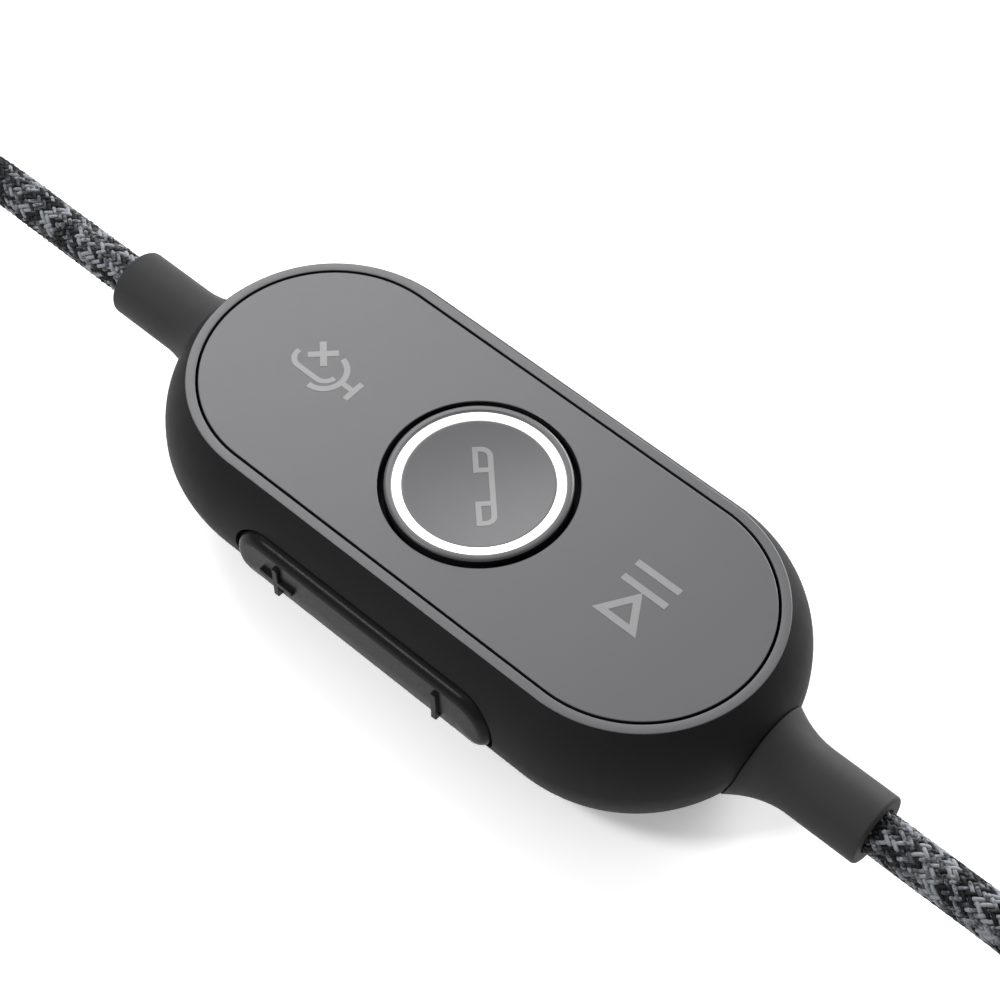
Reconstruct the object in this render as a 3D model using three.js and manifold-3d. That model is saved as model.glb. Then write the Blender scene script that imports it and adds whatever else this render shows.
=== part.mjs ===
// In-line call remote of a wired headset, with its two braided cords.
// Millimetres, +Z up. The remote lies on its flat base with the buttons on top; its long side runs
// along X. The origin is the middle of its base. The cord towards the headset leaves on the -X side
// and the cord towards the computer on the +X side.
import * as THREE from 'three';
import { mergeVertices } from 'three/addons/utils/BufferGeometryUtils.js';
import Module from 'manifold-3d';

const wasm = await Module();
wasm.setup();

// Remote body
const HEIGHT = 16.0; // base to the top of the rim
const END_CENTRE = 17.43; // from the middle to the centre of each round end
const RIM_R = 12.45; // outer edge of the flat rim
const WIDEST_R = 14.87; // widest outline
const WIDEST_Z = 9.1; // height of the widest outline
const CROWN_POWER = 2.51; // shape of the side above the widest line
const BELLY_R = 5.9; // the curve below the widest line runs in towards this radius
const BELLY_DROP = 10.5; // and would reach it this far down
const BELLY_POWER = 1.52;
const PARTING_Z = 4.0; // upper shell ends here
const WALL = 1.2;
const SEAM = 0.3; // gap between pieces that meet
const END_FACETS = 40; // facets round the whole outline

// Keys on the top
const OPENING_R = 11.65; // inside of the rim
const OPENING_FLOOR_Z = 13.5; // bottom of the rim's straight inner wall
const PLATE_R = 11.4;
const PLATE_BOTTOM_Z = 14.6;
const PLATE_HOLE_R = 8.5;
const KEY_X = 20.0; // where the mute and play switches sit under the plate
const PLATE_AXIS_Z = 13.0;
const BUTTON_R = 8.0;
const BUTTON_PROUD = 0.25;
const BUTTON_FLANGE_R = 8.9;
const RING_OUTER_R = 7.33;
const RING_INNER_R = 6.54;
const FIT = 0.03; // between the nested rings of the call button
const DISH_DEPTH = 0.35;

// Volume key on the -Y side
const VOLUME_HALF = 14.4; // half length of the key
const VOLUME_HALF_HIGH = 3.35;
const VOLUME_FACE_Y = -15.3;
const VOLUME_FLANGE_Y = -12.0;
const VOLUME_AXIS_Y = -10.6;
const VOLUME_SWITCH_X = 11.0;

// Inside
const CHASSIS_R = 10.2;
const CHASSIS_Z = 8.8;
const CHASSIS_THICK = 1.4;
const BOARD_Z = CHASSIS_Z + CHASSIS_THICK + SEAM;
const BOARD_THICK = 1.0;
const BOARD_TOP = BOARD_Z + BOARD_THICK;
const BOSS_X = 13.5;
const BOSS_Y = 5.2;
const FLOOR_Z = 2.0; // top of the base cover's floor
const PIN_R = 0.6;
const PIN_HOLE_R = 0.9;
const BUTTON_FACETS = 36;

// Cords
const CORD_R = 2.0;
const CORD_Z = 8.07; // height of the cord's axis at the remote
const RELIEF_R = 3.25;
const RELIEF_END_X = 42.6;
const RELIEF_FLARE_X = 35.9; // the flare starts here and grows towards the body
const RELIEF_FLARE = 0.065; // growth of the flare, per mm squared
const HANK_Z = 1.3; // underside of a hank, above its tie's band
const HANK_FOLD_R = 14.0; // outside radius of a hank's round ends
const HANK_RUN = 56.0; // between the centres of a hank's round ends
const HANK_WAIST = 5.0; // how far the tie draws each side in
const HANK_WAIST_LENGTH = 14.0;
const TIE_WIDTH = 9.0;
const TIE_THICK = 1.0;
const LAYER = 2 * CORD_R;
const LEFT_LAYERS = 3;
const RIGHT_LAYERS = 5;
const LEFT_HANK_X = -88.0; // centre of the near round end
const RIGHT_HANK_X = 82.0;
const PLUG_Y = -8.0;
const PLUG_START = 22.0; // from the hank's near end centre to the plug's relief
const PLUG_SOCKET = 2.0; // depth of the socket in a grip that its metal plug stands in
// The stretches that aren't coiled: straight out of the relief, then down to the hank.
const LEFT_CORD = [
  [-42.9, 0, 8.07], [-49, 0, 8.07], [-55, 0, 8.07], [-60.6, 0, 8.07],
  [-64, 0, 7.6], [-67.3, 0, 5.7], [-70.6, 0, 3.75], [-73.7, 0, 3.3],
];
const RIGHT_CORD = [
  [42.9, 0, 8.07], [47, 0, 8.07], [51, 0, 8.07], [54.8, 0, 8.07],
  [58, 0, 7.6], [61.3, 0, 5.7], [64.6, 0, 3.75], [67.7, 0, 3.3],
];

const finish = (color, roughness, metalness = 0) => ({ color, roughness, metalness });
const SOFT_TOUCH = finish(0x262627, 0.6);
const KEY_GREY = finish(0x6b6b6d, 0.45);
const ELASTOMER = finish(0x2a2a2b, 0.65);
const LIGHT_GUIDE = finish(0xf6f6f4, 0.3);
const BRAID = finish(0x4a4a4c, 0.9);
const FRAME_ABS = finish(0x1c1c1d, 0.5);
const BOARD_GREEN = finish(0x1f5a3c, 0.5);
const SILICONE = finish(0xd8d8d4, 0.6);
const STEEL = finish(0xb8b8ba, 0.3, 1);
const TIN = finish(0xc9c9c6, 0.35, 1);
const CHIP_BLACK = finish(0x161616, 0.4);
const JACKET = finish(0x1a1a1a, 0.6);

const remote = new THREE.Group();

function add(name, geometry, look) {
  const mesh = new THREE.Mesh(geometry, new THREE.MeshStandardMaterial(look));
  mesh.name = name;
  remote.add(mesh);
  return mesh;
}

// Merges shared vertices and drops the flat triangles that a pole leaves.
function welded(geometry) {
  const bare = geometry.clone();
  bare.deleteAttribute('normal');
  bare.deleteAttribute('uv');
  const merged = mergeVertices(bare, 1e-4);
  const kept = [];
  const index = merged.index.array;
  for (let i = 0; i < index.length; i += 3) {
    const [a, b, c] = [index[i], index[i + 1], index[i + 2]];
    if (a !== b && b !== c && c !== a) kept.push(a, b, c);
  }
  merged.setIndex(kept);
  return merged;
}

function solidOf(geometry) {
  const shape = welded(geometry);
  return new wasm.Manifold(new wasm.Mesh({
    numProp: 3,
    vertProperties: new Float32Array(shape.attributes.position.array),
    triVerts: new Uint32Array(shape.index.array),
  }));
}

function geometryOf(solid) {
  const mesh = solid.getMesh();
  const geometry = new THREE.BufferGeometry();
  geometry.setAttribute('position', new THREE.BufferAttribute(new Float32Array(mesh.vertProperties), 3));
  geometry.setIndex(Array.from(mesh.triVerts));
  return geometry;
}

function joined(first, ...others) {
  return geometryOf(others.reduce((sum, next) => sum.add(solidOf(next)), solidOf(first)));
}

function cut(first, ...tools) {
  return geometryOf(tools.reduce((rest, next) => rest.subtract(solidOf(next)), solidOf(first)));
}

// A turned piece about Z, from [radius, height] points listed from the bottom up on its outside.
function turned(points, facets = 32) {
  const profile = points.map(([r, z]) => new THREE.Vector2(r, z));
  return welded(new THREE.LatheGeometry(profile, facets).rotateX(Math.PI / 2));
}

// The same with round ends drawn apart along X: the facet across the middle becomes the long side.
function drawnOut(points, half = END_CENTRE, facets = END_FACETS) {
  const profile = points.map(([r, z]) => new THREE.Vector2(r, z));
  const start = Math.PI / facets;
  const geometry = new THREE.LatheGeometry(profile, facets, start, 2 * Math.PI);
  const place = geometry.attributes.position;
  for (let i = 0; i < place.count; i += 1) {
    const turn = start + (Math.floor(i / points.length) / facets) * 2 * Math.PI;
    place.setX(i, place.getX(i) + Math.sign(Math.sin(turn)) * half);
  }
  return welded(geometry.rotateX(Math.PI / 2));
}

function block([x0, x1], [y0, y1], [z0, z1]) {
  const geometry = new THREE.BoxGeometry(x1 - x0, y1 - y0, z1 - z0);
  return geometry.translate((x0 + x1) / 2, (y0 + y1) / 2, (z0 + z1) / 2);
}

function rod(radius, length, facets = 16) {
  return welded(new THREE.CylinderGeometry(radius, radius, length, facets));
}

const rodZ = (radius, z0, z1, x = 0, y = 0, facets = 16) =>
  rod(radius, z1 - z0, facets).rotateX(Math.PI / 2).translate(x, y, (z0 + z1) / 2);
const rodY = (radius, y0, y1, x = 0, z = 0, facets = 16) =>
  rod(radius, y1 - y0, facets).translate(x, (y0 + y1) / 2, z);
const rodX = (radius, x0, x1, y = 0, z = 0, facets = 16) =>
  rod(radius, x1 - x0, facets).rotateZ(-Math.PI / 2).translate((x0 + x1) / 2, y, z);

// A flat outline with round ends, length 2 * half and height 2 * high, centred on the origin.
function capsule(half, high, facets = 10) {
  const shape = new THREE.Shape();
  shape.absarc(half - high, 0, high, -Math.PI / 2, Math.PI / 2);
  shape.absarc(high - half, 0, high, Math.PI / 2, (3 * Math.PI) / 2);
  return { shape, facets };
}

// A capsule standing in the XZ plane, from y0 back to y1, centred at height z.
function capsuleWall(half, high, y0, y1, z) {
  const { shape, facets } = capsule(half, high);
  const geometry = new THREE.ExtrudeGeometry(shape, {
    depth: y1 - y0, bevelEnabled: false, curveSegments: facets,
  });
  return welded(geometry.rotateX(Math.PI / 2).translate(0, y1, z));
}

function roundedBox(w, h, r) {
  const shape = new THREE.Shape();
  shape.absarc(w / 2 - r, h / 2 - r, r, 0, Math.PI / 2);
  shape.absarc(r - w / 2, h / 2 - r, r, Math.PI / 2, Math.PI);
  shape.absarc(r - w / 2, r - h / 2, r, Math.PI, 1.5 * Math.PI);
  shape.absarc(w / 2 - r, r - h / 2, r, 1.5 * Math.PI, 2 * Math.PI);
  return shape;
}

// An outline in the YZ plane, drawn along X from x0 to x1, its middle at (y, z).
function alongX(shape, x0, x1, y, z, facets = 4) {
  const geometry = new THREE.ExtrudeGeometry(shape, {
    depth: x1 - x0, bevelEnabled: false, curveSegments: facets,
  });
  return welded(geometry.rotateZ(Math.PI / 2).rotateY(Math.PI / 2).translate(x0, y, z));
}

// Outline radius of the body at a height, about the line between its end centres.
function sideRadius(z) {
  if (z >= WIDEST_Z) {
    const up = (z - WIDEST_Z) / (HEIGHT - WIDEST_Z);
    return WIDEST_R - (WIDEST_R - RIM_R) * up ** CROWN_POWER;
  }
  const down = (WIDEST_Z - z) / BELLY_DROP;
  return BELLY_R + (WIDEST_R - BELLY_R) * Math.sqrt(1 - down ** BELLY_POWER);
}

// Points of the side from height z0 up to z1, moved outwards by grow.
function sidePoints(z0, z1, steps, grow = 0) {
  const points = [];
  for (let i = 0; i <= steps; i += 1) {
    const z = z0 + ((z1 - z0) * i) / steps;
    points.push([sideRadius(z) + grow, z]);
  }
  return points;
}

function wholeBody(grow) {
  const side = sidePoints(0.4, HEIGHT, 10, grow);
  return drawnOut([[0, -grow], [sideRadius(0) - 0.6 + grow, -grow], ...side, [0, HEIGHT + grow]]);
}

function upperShell() {
  const outside = sidePoints(PARTING_Z, HEIGHT, 10);
  const inside = sidePoints(PARTING_Z, OPENING_FLOOR_Z, 5, -WALL).reverse();
  const ring = drawnOut([...outside, [OPENING_R, HEIGHT], [OPENING_R, OPENING_FLOOR_Z], ...inside,
    [sideRadius(PARTING_Z), PARTING_Z]]);
  const window = capsuleWall(VOLUME_HALF + 0.3, VOLUME_HALF_HIGH + 0.3, -20, -8, WIDEST_Z);
  const cordHole = RELIEF_R + 0.4;
  return cut(ring, window,
    rodX(cordHole, -40, -24, 0, CORD_Z, 20), rodX(cordHole, 24, 40, 0, CORD_Z, 20));
}

function baseCover() {
  const top = PARTING_Z - SEAM;
  const outside = sidePoints(0.4, top, 4);
  const dish = drawnOut([[0, 0], [sideRadius(0) - 0.6, 0], ...outside,
    [sideRadius(top) - WALL, top], [sideRadius(FLOOR_Z) - 1.6, FLOOR_Z], [0, FLOOR_Z]]);
  const pinPost = rodZ(1.6, FLOOR_Z - 0.5, 5.0, 0, VOLUME_AXIS_Y + 0.2);
  const holes = bossPlaces().flatMap(([x, y]) => [rodZ(1.05, -1, 5, x, y), rodZ(1.9, -1, 1.35, x, y)]);
  return cut(joined(dish, pinPost), ...holes, rodZ(PIN_HOLE_R, 3.4, 6, 0, VOLUME_AXIS_Y));
}

function bossPlaces() {
  return [[-BOSS_X, -BOSS_Y], [BOSS_X, -BOSS_Y], [-BOSS_X, BOSS_Y], [BOSS_X, BOSS_Y]];
}

function baseScrew(x, y) {
  const profile = [[0, 0.35], [1.6, 0.35], [1.6, 0.75], [0.75, 1.2], [0.75, 6.6], [0, 7.0]];
  return turned(profile, 16).translate(x, y, 0);
}

function chassis() {
  const top = CHASSIS_Z + CHASSIS_THICK;
  const plate = drawnOut([[0, CHASSIS_Z], [CHASSIS_R, CHASSIS_Z], [CHASSIS_R, top], [0, top]]);
  const bosses = bossPlaces().map(([x, y]) => rodZ(1.9, FLOOR_Z + SEAM, CHASSIS_Z + 0.5, x, y));
  const ears = [-1, 1].map((side) => block([-1.8, 1.8],
    side > 0 ? [9.4, 10.9] : [-10.9, -9.4], [CHASSIS_Z + 0.2, 13.9]));
  const earBacks = [-1, 1].map((side) => block([-2.4, 2.4],
    side > 0 ? [8, 10.1] : [-10.1, -8], [top, 15]));
  const windows = [block([-4.5, 4.5], [-4.5, 4.5], [5, 12]),
    block([17.8, 30], [-3.6, 3.6], [5, 12]), block([-30, -17.8], [-3.6, 3.6], [5, 12])];
  const screwHoles = bossPlaces().map(([x, y]) => rodZ(1.05, 0, 7.4, x, y));
  const pinHoles = [rodY(PIN_HOLE_R, 9, 12, 0, PLATE_AXIS_Z), rodY(PIN_HOLE_R, -12, -9, 0, PLATE_AXIS_Z),
    rodZ(PIN_HOLE_R, 8, 9.8, 0, VOLUME_AXIS_Y)];
  return cut(joined(plate, ...bosses, ...ears), ...earBacks, ...windows, ...screwHoles, ...pinHoles);
}

function keyPlate() {
  const plate = drawnOut([[0, PLATE_BOTTOM_Z], [PLATE_R, PLATE_BOTTOM_Z], [PLATE_R, HEIGHT], [0, HEIGHT]]);
  const lugs = [[9.2, 9.8], [-9.8, -9.2]].map((y) => block([-1.5, 1.5], y, [12.1, PLATE_BOTTOM_Z + 0.4]));
  const nubs = [-KEY_X, KEY_X].map((x) => rodZ(1.5, 14.3, PLATE_BOTTOM_Z + 0.4, x, 0));
  return cut(joined(plate, ...lugs, ...nubs), rodZ(PLATE_HOLE_R, 14, 17, 0, 0, BUTTON_FACETS),
    rodY(PIN_HOLE_R, -12, 12, 0, PLATE_AXIS_Z));
}

function buttonShoulder() {
  const inner = RING_OUTER_R + FIT;
  return turned([[inner, 13.4], [BUTTON_FLANGE_R, 13.4], [BUTTON_FLANGE_R, 14.2], [BUTTON_R, 14.2],
    [BUTTON_R, HEIGHT - 0.1], [BUTTON_R - 0.25, HEIGHT + BUTTON_PROUD - 0.05],
    [BUTTON_R - 0.4, HEIGHT + BUTTON_PROUD], [inner, HEIGHT + 0.1], [inner, 13.4]], BUTTON_FACETS);
}

function lightRing() {
  return turned([[RING_INNER_R, 13.5], [RING_OUTER_R, 13.5], [RING_OUTER_R, HEIGHT + 0.08],
    [RING_INNER_R, HEIGHT + 0.08], [RING_INNER_R, 13.5]], BUTTON_FACETS);
}

function buttonCap() {
  const edge = RING_INNER_R - FIT;
  const dish = [];
  for (let i = 0; i <= 3; i += 1) {
    const r = edge * (1 - i / 3);
    dish.push([r, HEIGHT - DISH_DEPTH * (1 - (r / edge) ** 2)]);
  }
  return turned([[0, 13.5], [1.6, 13.5], [1.6, 14.4], [edge, 14.4], ...dish], BUTTON_FACETS);
}

// The volume key's raised plus and minus stand on its face, read with -X upwards.
function volumeKey() {
  const body = capsuleWall(VOLUME_HALF, VOLUME_HALF_HIGH, VOLUME_FACE_Y, VOLUME_FLANGE_Y + 0.4, WIDEST_Z);
  const flange = capsuleWall(VOLUME_HALF + 1.6, VOLUME_HALF_HIGH + 0.6,
    VOLUME_FLANGE_Y, VOLUME_FLANGE_Y + 0.8, WIDEST_Z);
  const rib = block([-1.8, 1.8], [VOLUME_FLANGE_Y + 0.5, -9.5], [5.6, 8.5]);
  const proud = [VOLUME_FACE_Y - 0.3, VOLUME_FACE_Y + 0.5];
  const plus = [block([-9.5, -8.9], proud, [WIDEST_Z - 1.9, WIDEST_Z + 1.9]),
    block([-11.1, -7.3], proud, [WIDEST_Z - 0.3, WIDEST_Z + 0.3])];
  const minus = block([8.6, 9.2], proud, [WIDEST_Z - 1.9, WIDEST_Z + 1.9]);
  return cut(joined(body, flange, rib, ...plus, minus), rodZ(PIN_HOLE_R, 4, 10, 0, VOLUME_AXIS_Y));
}

// A push switch: a square case with a round plunger on top, standing on +Z from z.
function pushSwitch(z) {
  return joined(block([-2.2, 2.2], [-2.2, 2.2], [z, z + 0.6]), rodZ(1.1, z + 0.4, z + 0.8, 0, 0, 12));
}

// A soft dome that stands between a switch and its key.
function dome(z0, z1) {
  return turned([[0, z0], [1.5, z0], [1.3, (z0 + z1) / 2], [0.7, z1], [0, z1]], 12);
}

function strainRelief() {
  const bell = [];
  for (let i = 0; i <= 6; i += 1) {
    const x = 29 + ((RELIEF_FLARE_X - 29) * i) / 6;
    bell.push([RELIEF_R + RELIEF_FLARE * (RELIEF_FLARE_X - x) ** 2, x]);
  }
  const outside = turned([[0, 29], ...bell, [RELIEF_R, RELIEF_END_X - 0.4],
    [RELIEF_R - 0.4, RELIEF_END_X], [0, RELIEF_END_X]], 20);
  const neck = turned([[0, 27.9], [4.1, 27.9], [4.1, 28.9], [RELIEF_R, 28.9], [RELIEF_R, 36], [0, 36]], 20);
  const place = (shape) => shape.rotateY(Math.PI / 2).translate(0, 0, CORD_Z);
  return joined(cut(place(outside), wholeBody(SEAM)), place(neck));
}

function cordTube(points) {
  const route = new THREE.CatmullRomCurve3(points.map((p) => new THREE.Vector3(...p)));
  const section = new THREE.Shape();
  section.absarc(0, 0, CORD_R, 0, 2 * Math.PI);
  return welded(new THREE.ExtrudeGeometry(section, {
    steps: points.length + 2, curveSegments: 10, bevelEnabled: false, extrudePath: route,
  }));
}

// Half width of a hank at a distance from its middle: the tie draws it in there.
const hankHalf = (x) => HANK_FOLD_R - HANK_WAIST * Math.exp(-((x / HANK_WAIST_LENGTH) ** 2));

// Outer shape of a tied hank, with round ends.
function hank(nearX, side, layers) {
  const outline = new THREE.Shape();
  const middle = nearX + (side * HANK_RUN) / 2;
  const [left, right] = [middle - HANK_RUN / 2, middle + HANK_RUN / 2];
  outline.absarc(right, 0, HANK_FOLD_R, -Math.PI / 2, Math.PI / 2);
  for (let i = 1; i < 12; i += 1) {
    const x = right - (HANK_RUN * i) / 12;
    outline.lineTo(x, hankHalf(x - middle));
  }
  outline.absarc(left, 0, HANK_FOLD_R, Math.PI / 2, 1.5 * Math.PI);
  for (let i = 1; i < 12; i += 1) {
    const x = left + (HANK_RUN * i) / 12;
    outline.lineTo(x, -hankHalf(x - middle));
  }
  return welded(new THREE.ExtrudeGeometry(outline, {
    depth: layers * LAYER, bevelEnabled: false, curveSegments: 12,
  }).translate(0, 0, HANK_Z));
}

const hankTop = (layers) => HANK_Z + layers * LAYER;
const plugFloor = (layers) => hankTop(layers) + TIE_THICK + 2 * SEAM;

// A strap round the waist of a hank.
function tie(nearX, side, layers) {
  const middle = nearX + (side * HANK_RUN) / 2;
  const innerHalf = hankHalf(TIE_WIDTH / 2) + SEAM;
  const high = hankTop(layers) + SEAM + TIE_THICK;
  const band = roundedBox(2 * (innerHalf + TIE_THICK), high, 2.5);
  band.holes.push(roundedBox(2 * innerHalf, high - 2 * TIE_THICK, 0.3));
  return alongX(band, middle - TIE_WIDTH / 2, middle + TIE_WIDTH / 2, 0, high / 2, 4);
}

function plugRelief(bigR, length) {
  return turned([[0, 0], [2.4, 0], [2.6, length * 0.5], [bigR, length], [0, length]], 16);
}

// Places a piece turned about Z so that it points along side * X on the plug's line.
function onPlug(geometry, side, x, z) {
  return geometry.rotateY((side * Math.PI) / 2).translate(x, PLUG_Y, z);
}

function addHousing() {
  add('upper_shell', upperShell(), SOFT_TOUCH);
  add('base_cover', baseCover(), SOFT_TOUCH);
  bossPlaces().forEach(([x, y], i) => add(`base_screw_${i + 1}`, baseScrew(x, y), STEEL));
  add('chassis', chassis(), FRAME_ABS);
}

function addElectronics() {
  const board = drawnOut([[0, BOARD_Z], [9.8, BOARD_Z], [9.8, BOARD_TOP], [0, BOARD_TOP]], 14, 32);
  add('main_board', board, BOARD_GREEN);
  add('audio_chip', block([-3, 3], [-3, 3], [BOARD_Z - SEAM - 0.9, BOARD_Z - SEAM]), CHIP_BLACK);
  const onBoard = BOARD_TOP + SEAM;
  const switches = [['switch_mute', -KEY_X], ['switch_call', 0], ['switch_play', KEY_X]];
  switches.forEach(([name, x]) => add(name, pushSwitch(onBoard).translate(x, 0, 0), TIN));
  for (let i = 0; i < 4; i += 1) {
    const turn = Math.PI / 4 + (i * Math.PI) / 2;
    const led = block([-0.8, 0.8], [-0.4, 0.4], [onBoard, onBoard + 0.5]);
    led.rotateZ(turn + Math.PI / 2).translate(6.94 * Math.cos(turn), 6.94 * Math.sin(turn), 0);
    add(`ring_led_${i + 1}`, led, LIGHT_GUIDE);
  }
  [['left', -1], ['right', 1]].forEach(([end, side]) => {
    const span = (a, b) => (side > 0 ? [a, b] : [-b, -a]);
    add(`lead_header_${end}`, block(span(18.5, 23.5), [-3, 3], [7.0, BOARD_Z - SEAM]), SILICONE);
    add(`inner_lead_${end}`, rodX(1.2, ...span(23.8, 27.6), 0, CORD_Z, 12), JACKET);
    const crimp = turned([[1.5, 24.6], [2.1, 24.6], [2.1, 26.2], [1.5, 26.2], [1.5, 24.6]], 12);
    add(`lead_crimp_${end}`, crimp.rotateY((side * Math.PI) / 2).translate(0, 0, CORD_Z), TIN);
  });
}

function addTopKeys() {
  add('key_plate', keyPlate(), KEY_GREY);
  add('plate_pin_front', rodY(PIN_R, -10.8, -9.25, 0, PLATE_AXIS_Z), STEEL);
  add('plate_pin_back', rodY(PIN_R, 9.25, 10.8, 0, PLATE_AXIS_Z), STEEL);
  add('call_button_shoulder', buttonShoulder(), KEY_GREY);
  add('call_button_light_ring', lightRing(), LIGHT_GUIDE);
  add('call_button_cap', buttonCap(), KEY_GREY);
  const foot = BOARD_TOP + SEAM + 0.85;
  add('dome_call', dome(foot, 13.45), SILICONE);
  add('dome_mute', dome(foot, 14.2).translate(-KEY_X, 0, 0), SILICONE);
  add('dome_play', dome(foot, 14.2).translate(KEY_X, 0, 0), SILICONE);
}

function addVolumeKey() {
  add('volume_key', volumeKey(), ELASTOMER);
  add('volume_pin', rodZ(PIN_R, 3.6, 9.5, 0, VOLUME_AXIS_Y), STEEL);
  add('volume_board', block([-13.2, 13.2], [-8.3, -7.5], [4.2, 8.5]), BOARD_GREEN);
  const standUp = (shape, x) => shape.rotateX(Math.PI / 2).translate(x, 0, 6.7);
  [['volume_up', -VOLUME_SWITCH_X], ['volume_down', VOLUME_SWITCH_X]].forEach(([name, x]) => {
    const body = joined(block([-1.7, 1.7], [-1.5, 1.5], [8.6, 9.4]), rodZ(0.9, 9.2, 9.7, 0, 0, 12));
    add(`switch_${name}`, standUp(body, x), TIN);
    add(`dome_${name}`, standUp(dome(9.75, 11.1), x), SILICONE);
  });
}

function addCords() {
  add('strain_relief_left', strainRelief().rotateZ(Math.PI), ELASTOMER);
  add('strain_relief_right', strainRelief(), ELASTOMER);
  add('cord_left', cordTube(LEFT_CORD), BRAID);
  add('cord_right', cordTube(RIGHT_CORD), BRAID);
  add('hank_left', hank(LEFT_HANK_X, -1, LEFT_LAYERS), BRAID);
  add('hank_right', hank(RIGHT_HANK_X, 1, RIGHT_LAYERS), BRAID);
  add('tie_left', tie(LEFT_HANK_X, -1, LEFT_LAYERS), JACKET);
  add('tie_right', tie(RIGHT_HANK_X, 1, RIGHT_LAYERS), JACKET);
}

// Four-pole 3.5 mm plug on the headset cord.
function addJack() {
  const start = LEFT_HANK_X - PLUG_START;
  const z = plugFloor(LEFT_LAYERS) + 4.2;
  const place = (shape, along) => onPlug(shape, -1, start - along, z);
  const band = (inner, a, b, outer = 1.75) =>
    turned([[inner, a], [outer, a], [outer, b], [inner, b], [inner, a]], 16);
  add('jack_relief', place(plugRelief(3.2, 9), 0), ELASTOMER);
  const [socketR, socketFloor] = [1.75 + SEAM, 17 - PLUG_SOCKET];
  const grip = turned([[0, 0], [3.8, 0], [4.2, 1.2], [4.2, 16.5], [3.9, 17],
    [socketR, 17], [socketR, socketFloor], [0, socketFloor]], 20);
  add('jack_grip', place(grip, 9.3), SOFT_TOUCH);
  const nose = 9.3 + socketFloor + SEAM;
  add('jack_core', place(turned([[0, 0], [1.2, 0], [1.2, 12.2], [0, 12.2]], 16), nose), CHIP_BLACK);
  add('jack_sleeve', place(band(1.25, 0, 6.6), nose), STEEL);
  add('jack_ring_1', place(band(1.25, 7.2, 9.0), nose), STEEL);
  add('jack_ring_2', place(band(1.25, 9.6, 11.4), nose), STEEL);
  const tip = turned([[0, 12.5], [1.75, 12.5], [1.3, 13.7], [1.75, 14.7], [1.1, 15.8], [0, 16.1]], 16);
  add('jack_tip', place(tip, nose), STEEL);
}

// USB-C plug on the computer cord.
function addUsbPlug() {
  const start = RIGHT_HANK_X + PLUG_START;
  const z = plugFloor(RIGHT_LAYERS) + 3.2;
  add('usb_relief', onPlug(plugRelief(3.0, 9), 1, start, z), ELASTOMER);
  const grip = start + 9.3;
  const socketFloor = grip + 20 - PLUG_SOCKET;
  const whole = alongX(roundedBox(10.6, 6.4, 2.2), grip, grip + 20, PLUG_Y, z);
  const socket = alongX(roundedBox(8.34 + 2 * SEAM, 2.56 + 2 * SEAM, 1.57), socketFloor, grip + 21, PLUG_Y, z);
  add('usb_grip', cut(whole, socket), SOFT_TOUCH);
  const root = socketFloor + SEAM;
  const shell = roundedBox(8.34, 2.56, 1.27);
  shell.holes.push(roundedBox(7.7, 1.92, 0.95));
  add('usb_shell', alongX(shell, root, root + 8.6, PLUG_Y, z), STEEL);
  add('usb_contact_block', block([root, root + 3.2], [PLUG_Y - 3.3, PLUG_Y + 3.3], [z - 0.6, z + 0.6]),
    CHIP_BLACK);
}

addHousing();
addElectronics();
addTopKeys();
addVolumeKey();
addCords();
addJack();
addUsbPlug();

export default remote;
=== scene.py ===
import math

import bmesh
import bpy
import numpy as np
from bpy.props import FloatProperty, FloatVectorProperty, IntProperty, PointerProperty
from mathutils import Matrix, Vector


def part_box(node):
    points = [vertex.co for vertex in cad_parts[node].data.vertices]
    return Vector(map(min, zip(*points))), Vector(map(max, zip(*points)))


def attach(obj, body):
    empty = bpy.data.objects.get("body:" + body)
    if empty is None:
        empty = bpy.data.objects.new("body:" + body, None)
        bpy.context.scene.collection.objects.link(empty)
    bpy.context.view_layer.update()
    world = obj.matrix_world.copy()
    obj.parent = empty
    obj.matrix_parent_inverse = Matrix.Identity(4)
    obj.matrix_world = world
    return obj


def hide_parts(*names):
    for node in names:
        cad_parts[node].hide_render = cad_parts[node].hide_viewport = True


# In-line call remote of a wired headset, with its two braided cords. Every piece takes its place
# from the object's frame. Sizes are in millimetres unless a name says otherwise.
bl_info = {
    "name": "Headset in-line remote",
    "version": (1, 0, 0),
    "blender": (4, 5, 0),
    "location": "3D View > Sidebar > Headset remote",
    "description": "Builds a headset's in-line remote with its cords, ties and plugs",
    "category": "Object",
}

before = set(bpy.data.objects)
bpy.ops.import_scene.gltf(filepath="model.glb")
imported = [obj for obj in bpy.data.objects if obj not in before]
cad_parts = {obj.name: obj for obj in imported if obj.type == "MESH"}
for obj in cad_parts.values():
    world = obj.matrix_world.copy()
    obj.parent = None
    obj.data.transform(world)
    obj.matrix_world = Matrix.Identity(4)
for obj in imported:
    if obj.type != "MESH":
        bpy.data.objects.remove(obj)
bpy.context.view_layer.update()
MM = 0.001


def frame_mm(node):
    """Lowest and highest corner of a frame node, in millimetres."""
    low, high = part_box(node)
    return np.array(low) / MM, np.array(high) / MM


# Places read from the frame
SHELL_LOW, SHELL_HIGH = frame_mm("upper_shell")
PLATE_HIGH = frame_mm("key_plate")[1]
RELIEF_HIGH = frame_mm("strain_relief_right")[1]
KEY_LOW = frame_mm("volume_key")[0]
HEIGHT = SHELL_HIGH[2]
PARTING_Z = SHELL_LOW[2]
WIDEST_R = SHELL_HIGH[1]
END_CENTRE = SHELL_HIGH[0] - WIDEST_R
PLATE_R = PLATE_HIGH[1]
RELIEF_END_X = RELIEF_HIGH[0]

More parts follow.
